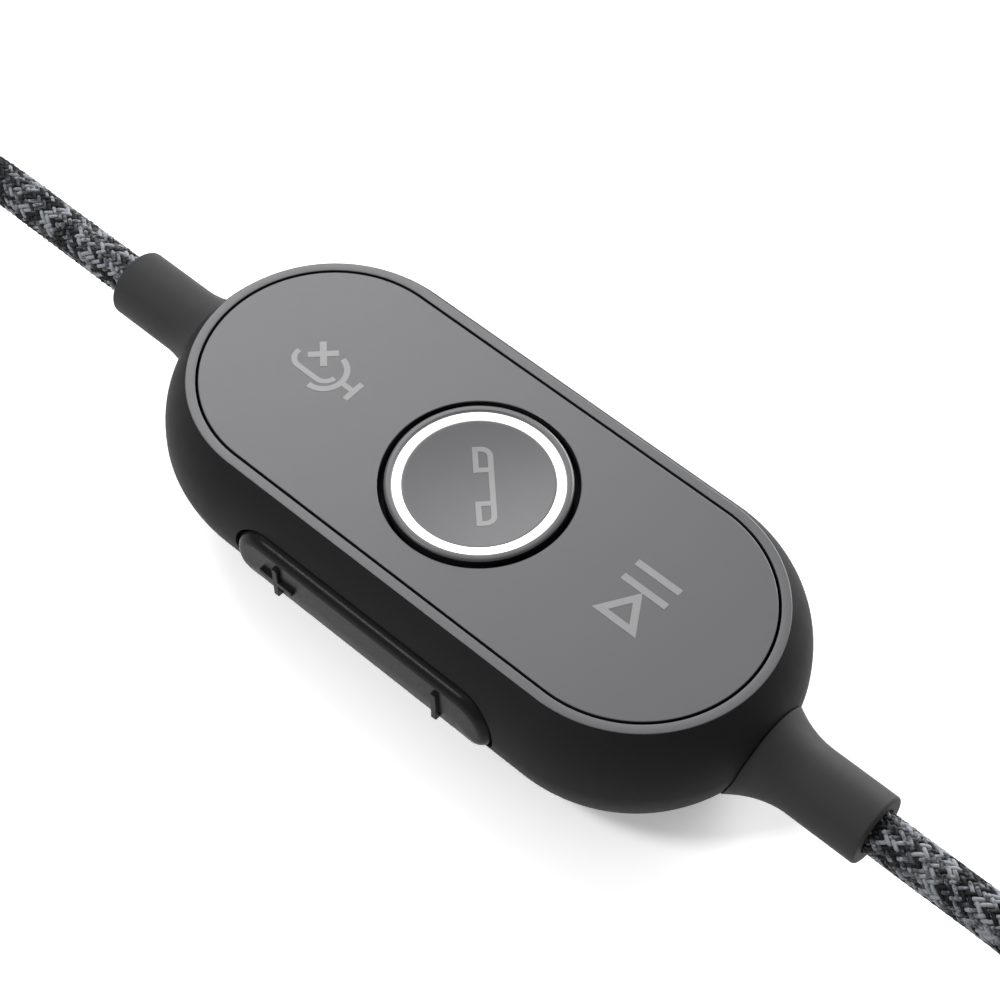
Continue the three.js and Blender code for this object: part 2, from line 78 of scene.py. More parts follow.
# The side's curve, as the frame has it
RIM_R = 12.45
WIDEST_Z = 9.1
CROWN_POWER = 2.51
BELLY_R = 5.9
BELLY_DROP = 10.5
BELLY_POWER = 1.52
WALL = 1.2
SEAM = 0.3
OPENING_R = 11.65
OPENING_FLOOR_Z = 13.5
PLATE_UNDER_Z = 14.6
PLATE_HOLE_R = 8.5
FLOOR_Z = 2.0
BASE_WALL = 1.6
FOOT_INSET = 0.6
LIP_ROUNDING = 0.12
SIDE_STEP = 0.3
RELIEF_HOLE_R = 3.65
PIN_HOLE_R = 0.9
BOSSES = [(-13.5, -5.2), (13.5, -5.2), (-13.5, 5.2), (13.5, 5.2)]

# Call button
BUTTON_R = 8.0
BUTTON_PROUD = 0.28
RING_OUTER_R = 7.33
RING_INNER_R = 6.54
DISH_DEPTH = 0.45

# Cords
CORD_R = 2.0
CORD_Z = 8.07
RELIEF_R = 3.25
RELIEF_FLARE_X = 35.9
RELIEF_FLARE = 0.065
FOLD_R = 12.0
FOLD_RUN = 56.0
WAIST = 5.0
WAIST_LENGTH = 14.0
LAYER = 4.0
HANK_REST = 3.3
PLUG_Y = -8.0
PLUG_START = 22.0
# What differs between the two cords. The routes are the frame's, in metres: straight out of the
# relief, then down to the hank.
CORDS = {
    "left": {
        "side": -1, "near": -88.0, "layers": 3, "plug_z": 19.1, "shown": 24,
        "plug": ["jack_boot", "jack_handle", "jack_insulator", "jack_sleeve_turned", "jack_ring_1_turned",
                 "jack_ring_2_turned", "jack_tip_turned"],
        "route": [
            (-0.0429, 0, 0.00807), (-0.049, 0, 0.00807), (-0.055, 0, 0.00807), (-0.0606, 0, 0.00807),
            (-0.064, 0, 0.0076), (-0.0673, 0, 0.0057), (-0.0706, 0, 0.00375), (-0.0737, 0, 0.0033),
        ],
    },
    "right": {
        "side": 1, "near": 82.0, "layers": 5, "plug_z": 26.1, "shown": 17,
        "plug": ["usb_boot", "usb_handle", "usb_shell_drawn", "usb_contact_block", "usb_contacts"],
        "route": [
            (0.0429, 0, 0.00807), (0.047, 0, 0.00807), (0.051, 0, 0.00807), (0.0548, 0, 0.00807),
            (0.058, 0, 0.0076), (0.0613, 0, 0.0057), (0.0646, 0, 0.00375), (0.0677, 0, 0.0033),
        ],
    },
}

# Symbols, volume key, strap and plugs
INK_PROUD = 0.02
FIT = 0.03
PLATE_AXIS_Z = 13.0
KEY_HALF = 14.4
KEY_HALF_HIGH = 3.35
KEY_FACE_Y = -15.3
KEY_FLANGE_Y = -12.0
KEY_AXIS_Y = -10.6
RELIEF_GAP = 0.12
RELIEF_ROOT_X = 28.5
RELIEF_BORE_DEEP = 2.0
NECK_R = 4.1
# Thickness of the lacquer that narrows the gap round the key plate
LACQUER = 0.04
STRAP_THICK = 1.0
PLUG_BOOT = 9.0
POLE_R = 1.75
POLE_BORE_R = 1.25
JACK_SOCKET_R = 2.05
SOCKET_DEEP = 2.0
USB_WIDE = 8.34
USB_TALL = 2.56
USB_CORNER = 1.27
SHELL_WALL = 0.32
METAL_LIP = 0.08
CONTACT_PITCH = 0.5
CORD_SIDES = 20
BRAID_PITCH = 16.0
# How far the inner sleeve lies under the cord's surface, and the strands' own sizes
CORE_UNDER = 0.40
STRAND_R = 0.20
STRAND_UNDER = 0.29
STRAND_LIFT = 0.09
STRAND_WANDER = 0.22

# Camera: seen from the front right, above
CAMERA_AIM = (0.00247, -0.00015, 0.016)
CAMERA_DISTANCE = 0.2039
CAMERA_ELEVATION = 55.16
CAMERA_TURN = 41.46
CAMERA_ROLL = 0.28
CAMERA_LENS = 88.34


# ---------------------------------------------------------------- shapes

def side_radius(z):
    """Outline radius of the body at a height, about the line between its end centres."""
    if z >= WIDEST_Z:
        up = (z - WIDEST_Z) / (HEIGHT - WIDEST_Z)
        return WIDEST_R - (WIDEST_R - RIM_R) * up ** CROWN_POWER
    down = (WIDEST_Z - z) / BELLY_DROP
    return BELLY_R + (WIDEST_R - BELLY_R) * math.sqrt(1 - down ** BELLY_POWER)


def ease(t):
    """0 before 0, 1 after 1, and a smooth rise between."""
    t = min(max(t, 0.0), 1.0)
    return t * t * (3 - 2 * t)


def arc(centre, radius, start, end, steps):
    """Points of an arc in a plane, angles in degrees."""
    angles = np.radians(np.linspace(start, end, steps + 1))
    return [(centre[0] + radius * math.cos(a), centre[1] + radius * math.sin(a)) for a in angles]


def made(name, points, faces):
    """A mesh object from points in millimetres, doubles merged and faces turned outwards."""
    mesh = bpy.data.meshes.new(name)
    mesh.from_pydata((np.asarray(points, float) * MM).tolist(), [], faces)
    obj = bpy.data.objects.new(name, mesh)
    bpy.context.scene.collection.objects.link(obj)
    cleaned(obj)
    return obj


def cleaned(obj):
    """Merges doubles, drops faces without area and turns the faces outwards."""
    work = bmesh.new()
    work.from_mesh(obj.data)
    bmesh.ops.remove_doubles(work, verts=work.verts, dist=2e-7)
    bmesh.ops.dissolve_degenerate(work, edges=work.edges, dist=1e-7)
    bmesh.ops.recalc_face_normals(work, faces=work.faces)
    work.to_mesh(obj.data)
    work.free()


def applied(obj):
    """Makes the object's modifiers part of its mesh."""
    bpy.context.view_layer.update()
    shape = obj.evaluated_get(bpy.context.evaluated_depsgraph_get())
    mesh = bpy.data.meshes.new_from_object(shape)
    old = obj.data
    obj.modifiers.clear()
    obj.data = mesh
    mesh.name = obj.name
    bpy.data.meshes.remove(old)
    return obj


def combined(obj, operation, others):
    """Cuts others from obj (DIFFERENCE) or joins them to it (UNION); the others are used up."""
    for other in others:
        step = obj.modifiers.new("combine", "BOOLEAN")
        step.operation = operation
        step.solver = "EXACT"
        step.object = other
    applied(obj)
    for other in others:
        bpy.data.objects.remove(other)
    cleaned(obj)
    return obj


def softened(obj, angle=32):
    """Smooth shading with sharp edges past an angle; large flat faces keep their flatness."""
    for face in obj.data.polygons:
        face.use_smooth = True
    obj.data.set_sharp_from_angle(angle=math.radians(angle))
    step = obj.modifiers.new("weighted", "WEIGHTED_NORMAL")
    step.keep_sharp = True
    step.weight = 80
    return applied(obj)


def outline(half, arcs=64, straights=16):
    """Centre shift and direction for each step round an outline with round ends."""
    right = [(half, math.cos(a), math.sin(a)) for a in np.linspace(-math.pi / 2, math.pi / 2, arcs + 1)]
    if half == 0:
        return right[:-1] + [(0, -c, -s) for _, c, s in right[:-1]]
    back = [(half - 2 * half * i / straights, 0.0, 1.0) for i in range(1, straights)]
    left = [(-x, -c, -s) for x, c, s in right]
    front = [(-x, 0.0, -1.0) for x, _, _ in back]
    return right + back + left + front


def drawn_out(name, profile, half=0.0, arcs=64, straights=16, closed=False, place=None):
    """Turns a profile of (radius, height) about Z, the round ends drawn apart along X by half."""
    steps = outline(half, arcs, straights)
    points = [(shift + r * c, r * s, z) for r, z in profile for shift, c, s in steps]
    count = len(steps)
    rows = len(profile)
    faces = []
    for row in range(rows if closed else rows - 1):
        below, above = row * count, ((row + 1) % rows) * count
        for i in range(count):
            j = (i + 1) % count
            faces.append((below + i, below + j, above + j, above + i))
    points = np.array(points)
    if not closed:
        for row in (0, rows - 1):
            if profile[row][0] > 0:
                faces.append(tuple(range(row * count, (row + 1) * count)))
    if place is not None:
        points = points @ np.array(place.to_3x3()).T + np.array(place.translation)
    return made(name, points, faces)


def filleted(corners, closed=False, steps=4):
    """A profile from (radius, height, rounding) corners: each corner with a rounding becomes an arc."""
    out = []
    count = len(corners)
    for i, (x, z, rounding) in enumerate(corners):
        if rounding == 0 or (not closed and i in (0, count - 1)):
            out.append((x, z))
            continue
        here = np.array([x, z])
        back = np.array(corners[i - 1][:2]) - here
        ahead = np.array(corners[(i + 1) % count][:2]) - here
        back, ahead = back / np.linalg.norm(back), ahead / np.linalg.norm(ahead)
        half = math.acos(max(-1.0, min(1.0, float(back @ ahead)))) / 2
        middle = (back + ahead) / np.linalg.norm(back + ahead)
        centre = here + middle * rounding / math.sin(half)
        first = here + back * rounding / math.tan(half) - centre
        last = here + ahead * rounding / math.tan(half) - centre
        start = math.atan2(first[1], first[0])
        turn = (math.atan2(last[1], last[0]) - start + math.pi) % (2 * math.pi) - math.pi
        for share in np.linspace(0, 1, steps + 1):
            angle = start + turn * share
            out.append((centre[0] + rounding * math.cos(angle), centre[1] + rounding * math.sin(angle)))
    return out


def turned_to(axis, x=0.0, y=0.0, z=0.0):
    """A placement that turns the Z axis to an axis such as '+X', then moves to a point in mm."""
    turn = {
        "+Z": Matrix.Identity(4),
        "+X": Matrix.Rotation(math.pi / 2, 4, "Y"),
        "-X": Matrix.Rotation(-math.pi / 2, 4, "Y"),
        "-Y": Matrix.Rotation(math.pi / 2, 4, "X"),
    }[axis]
    return Matrix.Translation((x, y, z)) @ turn


def block(name, low, high):
    """A plain block, used inside other pieces and as a cutting tool."""
    corners = [(x, y, z) for x in (low[0], high[0]) for y in (low[1], high[1]) for z in (low[2], high[2])]
    faces = [(0, 1, 3, 2), (4, 6, 7, 5), (0, 4, 5, 1), (2, 3, 7, 6), (0, 2, 6, 4), (1, 5, 7, 3)]
    return made(name, corners, faces)


def rounded_outline(width, height, radius, steps=8):
    """Outline of a rounded rectangle about the origin, anticlockwise."""
    a, b = width / 2 - radius, height / 2 - radius
    return (arc((a, b), radius, 0, 90, steps) + arc((-a, b), radius, 90, 180, steps)
            + arc((-a, -b), radius, 180, 270, steps) + arc((a, -b), radius, 270, 360, steps))


def lofted(name, sections, looped=False, ends=True):
    """Skins a row of closed sections with equal numbers of points."""
    count = len(sections[0])
    points = [p for section in sections for p in section]
    faces = []
    for row in range(len(sections) - (0 if looped else 1)):
        below, above = row * count, ((row + 1) % len(sections)) * count
        for i in range(count):
            j = (i + 1) % count
            faces.append((below + i, below + j, above + j, above + i))
    if ends and not looped:
        faces.append(tuple(range(count)))
        faces.append(tuple(range((len(sections) - 1) * count, len(sections) * count)))
    return made(name, points, faces)


def stroke(name, line, width, height_of, closed=False, depth=0.12):
    """A raised line of a symbol: follows points in the XY plane, its top at height_of(x, y)."""
    line = np.array(line, float)
    count = len(line)
    left, right = [], []
    for i in range(count):
        before = line[i] - line[i - 1] if closed or i > 0 else line[1] - line[0]
        after = line[(i + 1) % count] - line[i] if closed or i < count - 1 else line[-1] - line[-2]
        before, after = before / np.linalg.norm(before), after / np.linalg.norm(after)
        n1, n2 = np.array([-before[1], before[0]]), np.array([-after[1], after[0]])
        mitre = (n1 + n2) / (1 + n1 @ n2)
        left.append(line[i] + mitre * width / 2)
        right.append(line[i] - mitre * width / 2)
    sections = []
    for a, b in zip(left, right):
        top_a, top_b = height_of(*a), height_of(*b)
        sections.append([(*a, top_a), (*b, top_b), (*b, top_b - depth), (*a, top_a - depth)])
    return lofted(name, sections, looped=closed)


def subdivided(points, spacing=0.5):
    """The same line with extra points, no further apart than the spacing."""
    out = []
    for a, b in zip(points[:-1], points[1:]):
        a, b = np.array(a, float), np.array(b, float)
        parts = max(1, int(math.ceil(np.linalg.norm(b - a) / spacing)))
        out += [tuple(a + (b - a) * i / parts) for i in range(parts)]
    return out + [tuple(points[-1])]


# ---------------------------------------------------------------- cord route

def smooth_line(points, spacing):
    """A Catmull-Rom curve through the points, resampled at an even spacing."""
    points = np.array(points, float)
    padded = np.vstack([2 * points[0] - points[1], points, 2 * points[-1] - points[-2]])
    fine = []
    for i in range(1, len(padded) - 2):
        p0, p1, p2, p3 = padded[i - 1:i + 3]
        for t in np.linspace(0, 1, 24, endpoint=False):
            fine.append(0.5 * (2 * p1 + (p2 - p0) * t + (2 * p0 - 5 * p1 + 4 * p2 - p3) * t ** 2
                               + (3 * p1 - p0 - 3 * p2 + p3) * t ** 3))
    fine.append(points[-1])
    return even(np.array(fine), spacing)


def even(line, spacing):
    """Resamples a line at an even spacing."""
    along = np.concatenate([[0], np.cumsum(np.linalg.norm(np.diff(line, axis=0), axis=1))])
    count = max(2, int(round(along[-1] / spacing)) + 1)
    at = np.linspace(0, along[-1], count)
    return np.stack([np.interp(at, along, line[:, k]) for k in range(3)], axis=1)


def waist_y(xi):
    """Distance of a hank's runs from its middle line: the tie draws them in."""
    return FOLD_R - WAIST * math.exp(-(((xi - FOLD_RUN / 2) / WAIST_LENGTH) ** 2))


def racetrack(share):
    """Place on a hank's turn, from 0 at the near fold round to 1: (distance from near centre, y)."""
    bend = math.pi * FOLD_R
    total = 2 * FOLD_RUN + 2 * bend
    s = (share % 1.0) * total
    if s < bend / 2:
        a = math.pi + s / FOLD_R
        return FOLD_R * math.cos(a), FOLD_R * math.sin(a)
    s -= bend / 2
    if s < FOLD_RUN:
        return s, -waist_y(s)
    s -= FOLD_RUN
    if s < bend:
        a = -math.pi / 2 + s / FOLD_R
        return FOLD_RUN + FOLD_R * math.cos(a), FOLD_R * math.sin(a)
    s -= bend
    if s < FOLD_RUN:
        return FOLD_RUN - s, waist_y(FOLD_RUN - s)
    a = math.pi / 2 + (s - FOLD_RUN) / FOLD_R
    return FOLD_R * math.cos(a), FOLD_R * math.sin(a)


def sag(xi, centre, depth=0.9, length=13.0):
    """How far the cord droops beside the tie's band, which lifts it off the table."""
    return depth * math.exp(-(((xi - centre) / length) ** 2))


def hank_points(layers, plug_z):
    """The coiled part of a cord, as (distance from near fold centre, y, z) in mm."""
    reach_run = 18.0
    enter = -FOLD_R - 2.3
    points = []
    for xi in np.arange(enter + 2.0, reach_run, 2.0):
        y = -ease((xi - enter) / (reach_run - enter)) * waist_y(xi)
        points.append((xi, y, HANK_REST - sag(xi, 2.0)))
    turn_steps = 96
    first = (math.pi * FOLD_R / 2 + reach_run) / (2 * FOLD_RUN + 2 * math.pi * FOLD_R)
    for step in range(int(math.ceil(first * turn_steps)), layers * turn_steps + 1):
        share = step / turn_steps
        xi, y = racetrack(share)
        climbed = math.floor(share) + ease((share % 1.0 - 0.80) / 0.20)
        low = sag(xi, FOLD_RUN + 8.0) + (sag(xi, 6.0, 0.5) if share % 1.0 > 0.5 else 0.0)
        points.append((xi, y, HANK_REST + LAYER * climbed - low))
    top = HANK_REST + LAYER * layers
    for a in np.radians(np.arange(189, 270, 9)):
        points.append((FOLD_R * math.cos(a), FOLD_R * math.sin(a), top))
    for t in np.linspace(0, 1, 12):
        points.append((PLUG_START * t, -FOLD_R + (FOLD_R + PLUG_Y) * ease(t), top + (plug_z - top) * ease(t)))
    return points


def cord_line(which, spacing=1.0):
    """A cord's whole centreline in mm, from inside its strain relief to its plug's relief."""
    cord = CORDS[which]
    straight = np.array(cord["route"]) / MM
    tucked = [straight[0] + [-cord["side"] * 2.0, 0, 0]]
    folded = hank_points(cord["layers"], cord["plug_z"])
    hank = [(cord["near"] + cord["side"] * xi, y, z) for xi, y, z in folded]
    return smooth_line(np.vstack([tucked, straight, hank]), spacing)


def carried_frames(line):
    """Two directions across the line at each point, carried along it without twist."""
    tangent = np.gradient(line, axis=0)
    tangent /= np.linalg.norm(tangent, axis=1)[:, None]
    across = [np.cross(tangent[0], [0, 0, 1.0])]
    across[0] /= np.linalg.norm(across[0])
    for t in tangent[1:]:
        a = across[-1] - t * (across[-1] @ t)
        across.append(a / np.linalg.norm(a))
    across = np.array(across)
    return across, np.cross(tangent, across)


def tube(name, line, radius_at, sides, repeat):
    """A closed tube along a line. Its UV map holds the share of the way round and turns of the braid."""
    across, up = carried_frames(line)
    along = np.concatenate([[0], np.cumsum(np.linalg.norm(np.diff(line, axis=0), axis=1))])
    angles = np.arange(sides) * 2 * math.pi / sides
    radii = np.array([radius_at(s) for s in along])[:, None, None]
    ring = np.cos(angles)[None, :, None] * across[:, None] + np.sin(angles)[None, :, None] * up[:, None]
    points = (line[:, None] + radii * ring).reshape(-1, 3)
    faces, uvs = [], []
    for row in range(len(line) - 1):
        v0, v1 = along[row] / repeat, along[row + 1] / repeat
        for i in range(sides):
            j = (i + 1) % sides
            faces.append((row * sides + i, row * sides + j, (row + 1) * sides + j, (row + 1) * sides + i))
            u0, u1 = i / sides, (i + 1) / sides
            uvs += [(u0, v0), (u1, v0), (u1, v1), (u0, v1)]
    last = (len(line) - 1) * sides
    faces.append(tuple(reversed(range(sides))))
    faces.append(tuple(range(last, last + sides)))
    uvs += [(0.0, 0.0)] * (2 * sides)
    mesh = bpy.data.meshes.new(name)
    mesh.from_pydata((points * MM).tolist(), [], faces)
    mesh.uv_layers.new(name="braid").data.foreach_set("uv", np.array(uvs).ravel())
    for face in mesh.polygons:
        face.use_smooth = True
    obj = bpy.data.objects.new(name, mesh)
    bpy.context.scene.collection.objects.link(obj)
    return obj


# ---------------------------------------------------------------- materials

def linear(code):
    """An sRGB hex colour as linear RGBA."""
    parts = [int(code[i:i + 2], 16) / 255 for i in (1, 3, 5)]
    return tuple(c / 12.92 if c <= 0.04045 else ((c + 0.055) / 1.055) ** 2.4 for c in parts) + (1.0,)


def add_node(tree, kind, inputs=None, **settings):
    """Adds a node with its settings. An input's value is a number, a colour or another node's output."""
    node = tree.nodes.new(kind)
    for key, value in settings.items():
        setattr(node, key, value)
    for key, value in (inputs or {}).items():
        if isinstance(value, bpy.types.NodeSocket):
            tree.links.new(value, node.inputs[key])
        else:
            node.inputs[key].default_value = value
    return node


def field_math(tree, operation, a, b=0.0, c=0.0):
    """The result of a sum on numbers or other nodes' outputs."""
    return add_node(tree, "ShaderNodeMath", {0: a, 1: b, 2: c}, operation=operation).outputs[0]


def surface(name, colour, roughness, **extra):
    """A new material with a Principled shader; extra sets further sockets by name."""
    material = bpy.data.materials.new(name)
    material.use_nodes = True
    tree = material.node_tree
    tree.nodes.clear()
    inputs = {"Base Color": colour, "Roughness": roughness, **extra}
    shader = add_node(tree, "ShaderNodeBsdfPrincipled", inputs)
    add_node(tree, "ShaderNodeOutputMaterial", {"Surface": shader.outputs["BSDF"]})
    return material, tree, shader


def object_place(tree):
    return add_node(tree, "ShaderNodeTexCoord").outputs["Object"]


def grain(tree, size_mm, detail=3.0, vector=None):
    """Noise whose lumps are about size_mm across."""
    inputs = {"Vector": vector or object_place(tree), "Scale": 1 / (size_mm * MM), "Detail": detail}
    return add_node(tree, "ShaderNodeTexNoise", inputs).outputs["Fac"]


def spread(tree, value, low, high, start=0.3, end=0.7):
    """Maps a noise value to a range."""
    inputs = {"Value": value, "From Min": start, "From Max": end, "To Min": low, "To Max": high}
    return add_node(tree, "ShaderNodeMapRange", inputs).outputs["Result"]


def mixed(tree, share, colour_a, colour_b):
    node = add_node(tree, "ShaderNodeMix", {0: share}, data_type="RGBA")
    for index, colour in ((6, colour_a), (7, colour_b)):
        if isinstance(colour, bpy.types.NodeSocket):
            tree.links.new(colour, node.inputs[index])
        else:
            node.inputs[index].default_value = colour
    return node.outputs[2]


def bumped(tree, shader, height, distance_mm, strength=1.0):
    inputs = {"Height": height, "Distance": distance_mm * MM, "Strength": strength}
    bump = add_node(tree, "ShaderNodeBump", inputs)
    tree.links.new(bump.outputs["Normal"], shader.inputs["Normal"])


def shaded(colour, factor):
    return tuple(c * factor for c in colour[:3]) + (1.0,)


def mottled(tree, shader, colour, size_mm, amount, roughness, roughness_amount):
    """Slight drift of colour and roughness over the surface."""
    drift = grain(tree, size_mm)
    share = spread(tree, drift, 0.0, 1.0)
    tinted = mixed(tree, share, shaded(colour, 1 - amount), shaded(colour, 1 + amount))
    tree.links.new(tinted, shader.inputs["Base Color"])
    fine = grain(tree, size_mm / 9)
    rough = spread(tree, fine, roughness - roughness_amount, roughness + roughness_amount)
    tree.links.new(rough, shader.inputs["Roughness"])


def soft_touch(colour):
    # Polycarbonate, spark-eroded mould, soft-touch lacquer: a deep matte grey-black with a wide, weak
    # sheen and a very fine even grain. The grain is 0.12 mm, twice the real one, so that it shows.
    material, tree, shader = surface("polycarbonate_soft_touch_lacquered", colour, 0.5,
                                     **{"IOR": 1.5, "Specular IOR Level": 0.05})
    mottled(tree, shader, colour, 12.0, 0.03, 0.55, 0.02)
    bumped(tree, shader, grain(tree, 0.12, 2.0), 0.008, 0.6)
    return material


def satin_lacquer(colour):
    # Polycarbonate, sprayed with satin lacquer: a flat, even mid grey that takes a broad soft
    # reflection, with a fine orange peel about 1.5 mm across.
    material, tree, shader = surface("polycarbonate_satin_lacquered", colour, 0.38,
                                     **{"IOR": 1.5, "Specular IOR Level": 0.4})
    mottled(tree, shader, colour, 9.0, 0.015, 0.36, 0.015)
    peel = grain(tree, 1.5, 1.0)
    speck = grain(tree, 0.1, 2.0)
    height = add_node(tree, "ShaderNodeMath", {0: peel, 1: speck}, operation="ADD").outputs[0]
    bumped(tree, shader, height, 0.004, 0.5)
    return material


def printed_ink(colour):
    # Pad-printed ink on the lacquer: a thin film a shade lighter than its ground, slightly glossier,
    # with a faintly uneven cover.
    material, tree, shader = surface("pad_printed_ink", colour, 0.38, **{"IOR": 1.5})
    mottled(tree, shader, colour, 0.8, 0.03, 0.38, 0.04)
    return material


def elastomer(colour, name, roughness, gloss):
    # Thermoplastic elastomer, injection moulded. An eroded mould gives the reliefs a dead matte,
    # faintly greasy look; a finer one leaves a soft line of light on the key's rounded edge.
    material, tree, shader = surface(name, colour, roughness,
                                     **{"IOR": 1.5, "Specular IOR Level": gloss})
    mottled(tree, shader, colour, 9.0, 0.03, roughness, 0.02)
    bumped(tree, shader, grain(tree, 0.1, 3.0), 0.01, 0.6)
    return material


def opal_diffuser(glow):
    # Polycarbonate with opal filler, moulded and lit from below: reads as one even white light with
    # four barely brighter places above its light-emitting diodes.
    white = linear("#c9c9c7")
    material, tree, shader = surface("polycarbonate_opal_moulded", white, 0.35,
                                     **{"IOR": 1.58, "Emission Strength": glow})
    place = object_place(tree)
    axes = add_node(tree, "ShaderNodeSeparateXYZ", {0: place})
    angle = add_node(tree, "ShaderNodeMath", {0: axes.outputs[1], 1: axes.outputs[0]}, operation="ARCTAN2")
    four = add_node(tree, "ShaderNodeMath", {0: angle.outputs[0], 1: 4.0}, operation="MULTIPLY")
    wave = add_node(tree, "ShaderNodeMath", {0: four.outputs[0]}, operation="COSINE")
    share = spread(tree, wave.outputs[0], 1.0, 0.0, -1.0, 1.0)
    light = mixed(tree, share, linear("#fbfbfa"), linear("#ffffff"))
    tree.links.new(light, shader.inputs["Emission Color"])
    return material


def braid_colour(tree, strand, run, dark, light):
    """Space-dyed yarn: each strand changes between dark and pale along itself, with stray filaments."""

    def noise(start, stretch, detail, place_z=None):
        along = field_math(tree, "MULTIPLY", run, stretch)
        across = field_math(tree, "MULTIPLY", strand, start)
        inputs = {"X": across, "Y": along}
        if place_z is not None:
            inputs["Z"] = place_z
        place = add_node(tree, "ShaderNodeCombineXYZ", inputs).outputs[0]
        inputs = {"Vector": place, "Scale": 1.0, "Detail": detail}
        return add_node(tree, "ShaderNodeTexNoise", inputs).outputs["Fac"]

    patches = noise(7.31, 0.42, 1.0)
    bands = noise(0.0, 0.22, 0.0)
    height = add_node(tree, "ShaderNodeSeparateXYZ", {0: object_place(tree)}).outputs[2]
    lift = field_math(tree, "MULTIPLY", height, 9.0 / MM)
    filaments = noise(3.7, 2.4, 2.0, lift)
    weight = field_math(tree, "MULTIPLY_ADD", bands, 0.35, patches)
    weight = field_math(tree, "MULTIPLY_ADD", filaments, 0.45, weight)
    ramp = add_node(tree, "ShaderNodeValToRGB", {"Fac": weight})
    stops = ramp.color_ramp.elements
    stops[0].position, stops[0].color = 0.84, dark
    stops[1].position, stops[1].color = 1.0, light
    middle = stops.new(0.93)
    middle.color = shaded(light, 0.35)
    return ramp.outputs["Color"]


def braided_yarn(dark, light):
    # Polyester filament yarn, space-dyed and braided: bundles about 0.4 mm wide with a silky streak
    # along each, dark and pale grey in an irregular herringbone.
    material, tree, shader = surface("polyester_yarn_braided", dark, 0.7, **{"Specular IOR Level": 0.2})
    strand = add_node(tree, "ShaderNodeAttribute", attribute_name="strand").outputs["Fac"]
    run = add_node(tree, "ShaderNodeAttribute", attribute_name="run").outputs["Fac"]
    tree.links.new(braid_colour(tree, strand, run, dark, light), shader.inputs["Base Color"])
    bumped(tree, shader, grain(tree, 0.07, 2.0), 0.03, 0.5)
    return material


def braided_sleeve(dark, light, strands):
    # The same yarn where the cord is wound up: the herringbone is worked out from the tube's own turns, with
    # the strands two over and two under, and painted shade darkens the dips between the strands.
    material, tree, shader = surface("polyester_yarn_braided_sleeve", dark, 0.7,
                                     **{"Specular IOR Level": 0.2})

    def calc(operation, a, b=0.0, c=0.0):
        return field_math(tree, operation, a, b, c)

    uv = add_node(tree, "ShaderNodeUVMap", uv_map="braid").outputs[0]
    axes = add_node(tree, "ShaderNodeSeparateXYZ", {0: uv})
    round_share, turns = axes.outputs[0], axes.outputs[1]
    forward = calc("MULTIPLY", calc("SUBTRACT", round_share, turns), strands)
    backward = calc("MULTIPLY", calc("ADD", round_share, turns), strands)
    run = calc("MULTIPLY", turns, BRAID_PITCH)
    column = calc("SUBTRACT", calc("MULTIPLY", round_share, 2 * strands), 0.5)
    column = calc("COSINE", calc("MULTIPLY", column, math.pi / 2))
    over = calc("GREATER_THAN", column, 0.0)

    def strand_id(value, start):
        return calc("ADD", calc("WRAP", calc("ROUND", value), strands, 0.0), start)

    def crest(value):
        inside = calc("SUBTRACT", calc("FRACT", calc("ADD", value, 0.5)), 0.5)
        return calc("SUBTRACT", 1.0, calc("MULTIPLY", calc("MULTIPLY", inside, inside), 4.0))

    number = calc("ADD", calc("MULTIPLY", strand_id(forward, 0.0), over),
                  calc("MULTIPLY", strand_id(backward, 100.0), calc("SUBTRACT", 1.0, over)))
    ridge = calc("ADD", calc("MULTIPLY", crest(forward), over),
                 calc("MULTIPLY", crest(backward), calc("SUBTRACT", 1.0, over)))
    height = calc("MULTIPLY", ridge, calc("POWER", calc("ABSOLUTE", column), 0.5))
    yarn = braid_colour(tree, number, run, dark, light)
    # Painted shade: the colour falls to a third of the dark yarn in the dips between the strands.
    lit = mixed(tree, spread(tree, height, 0.0, 1.0, 0.0, 0.45), shaded(dark, 0.3), yarn)
    tree.links.new(lit, shader.inputs["Base Color"])
    bumped(tree, shader, height, 0.12, 1.0)
    return material


def under_braid_shade():
    # Polyester under-braid between the strands, no shine: a real sleeve, its near-black painted shade for the
    # gaps between them.
    material, tree, shader = surface("polyester_under_braid", linear("#101011"), 0.9)
    bumped(tree, shader, grain(tree, 0.15), 0.03, 0.5)
    return material


def hook_and_loop():
    # Nylon hook-and-loop strap, woven: a dense black pile with a rib about 0.5 mm apart.
    black = linear("#18181a")
    material, tree, shader = surface("nylon_hook_and_loop_woven", black, 0.85,
                                     **{"Sheen Weight": 0.12, "Sheen Roughness": 0.6})
    mottled(tree, shader, black, 1.5, 0.2, 0.85, 0.05)
    place = object_place(tree)
    ribs = add_node(tree, "ShaderNodeTexWave", {"Vector": place, "Scale": 1 / (0.5 * MM) / (2 * math.pi) * 2,
                                                "Distortion": 1.5}, bands_direction="X")
    pile = grain(tree, 0.25, 4.0)
    height = add_node(tree, "ShaderNodeMath", {0: ribs.outputs["Fac"], 1: pile}, operation="ADD").outputs[0]
    bumped(tree, shader, height, 0.12, 0.7)
    return material


def turned_metal(name, code, roughness, streak_mm):
    # Plated metal as turned or drawn: a bright body with fine even tool marks that stretch the
    # highlight a little.
    colour = linear(code)
    material, tree, shader = surface(name, colour, roughness, **{"Metallic": 1.0})
    streaks = add_node(tree, "ShaderNodeMapping", {"Vector": object_place(tree), "Scale": (12.0, 1.0, 1.0)})
    lines = grain(tree, streak_mm, 2.0, streaks.outputs[0])
    tree.links.new(spread(tree, lines, roughness * 0.75, roughness * 1.3), shader.inputs["Roughness"])
    bumped(tree, shader, lines, 0.004, 0.4)
    return material


def moulded(name, code, roughness, grain_mm=0.3):
    # Engineering plastic straight from the tool: even colour, slight flow marks in the gloss.
    colour = linear(code)
    material, tree, shader = surface(name, colour, roughness, **{"IOR": 1.5})
    mottled(tree, shader, colour, 5.0, 0.06, roughness, 0.06)
    bumped(tree, shader, grain(tree, grain_mm), 0.01, 0.5)
    return material


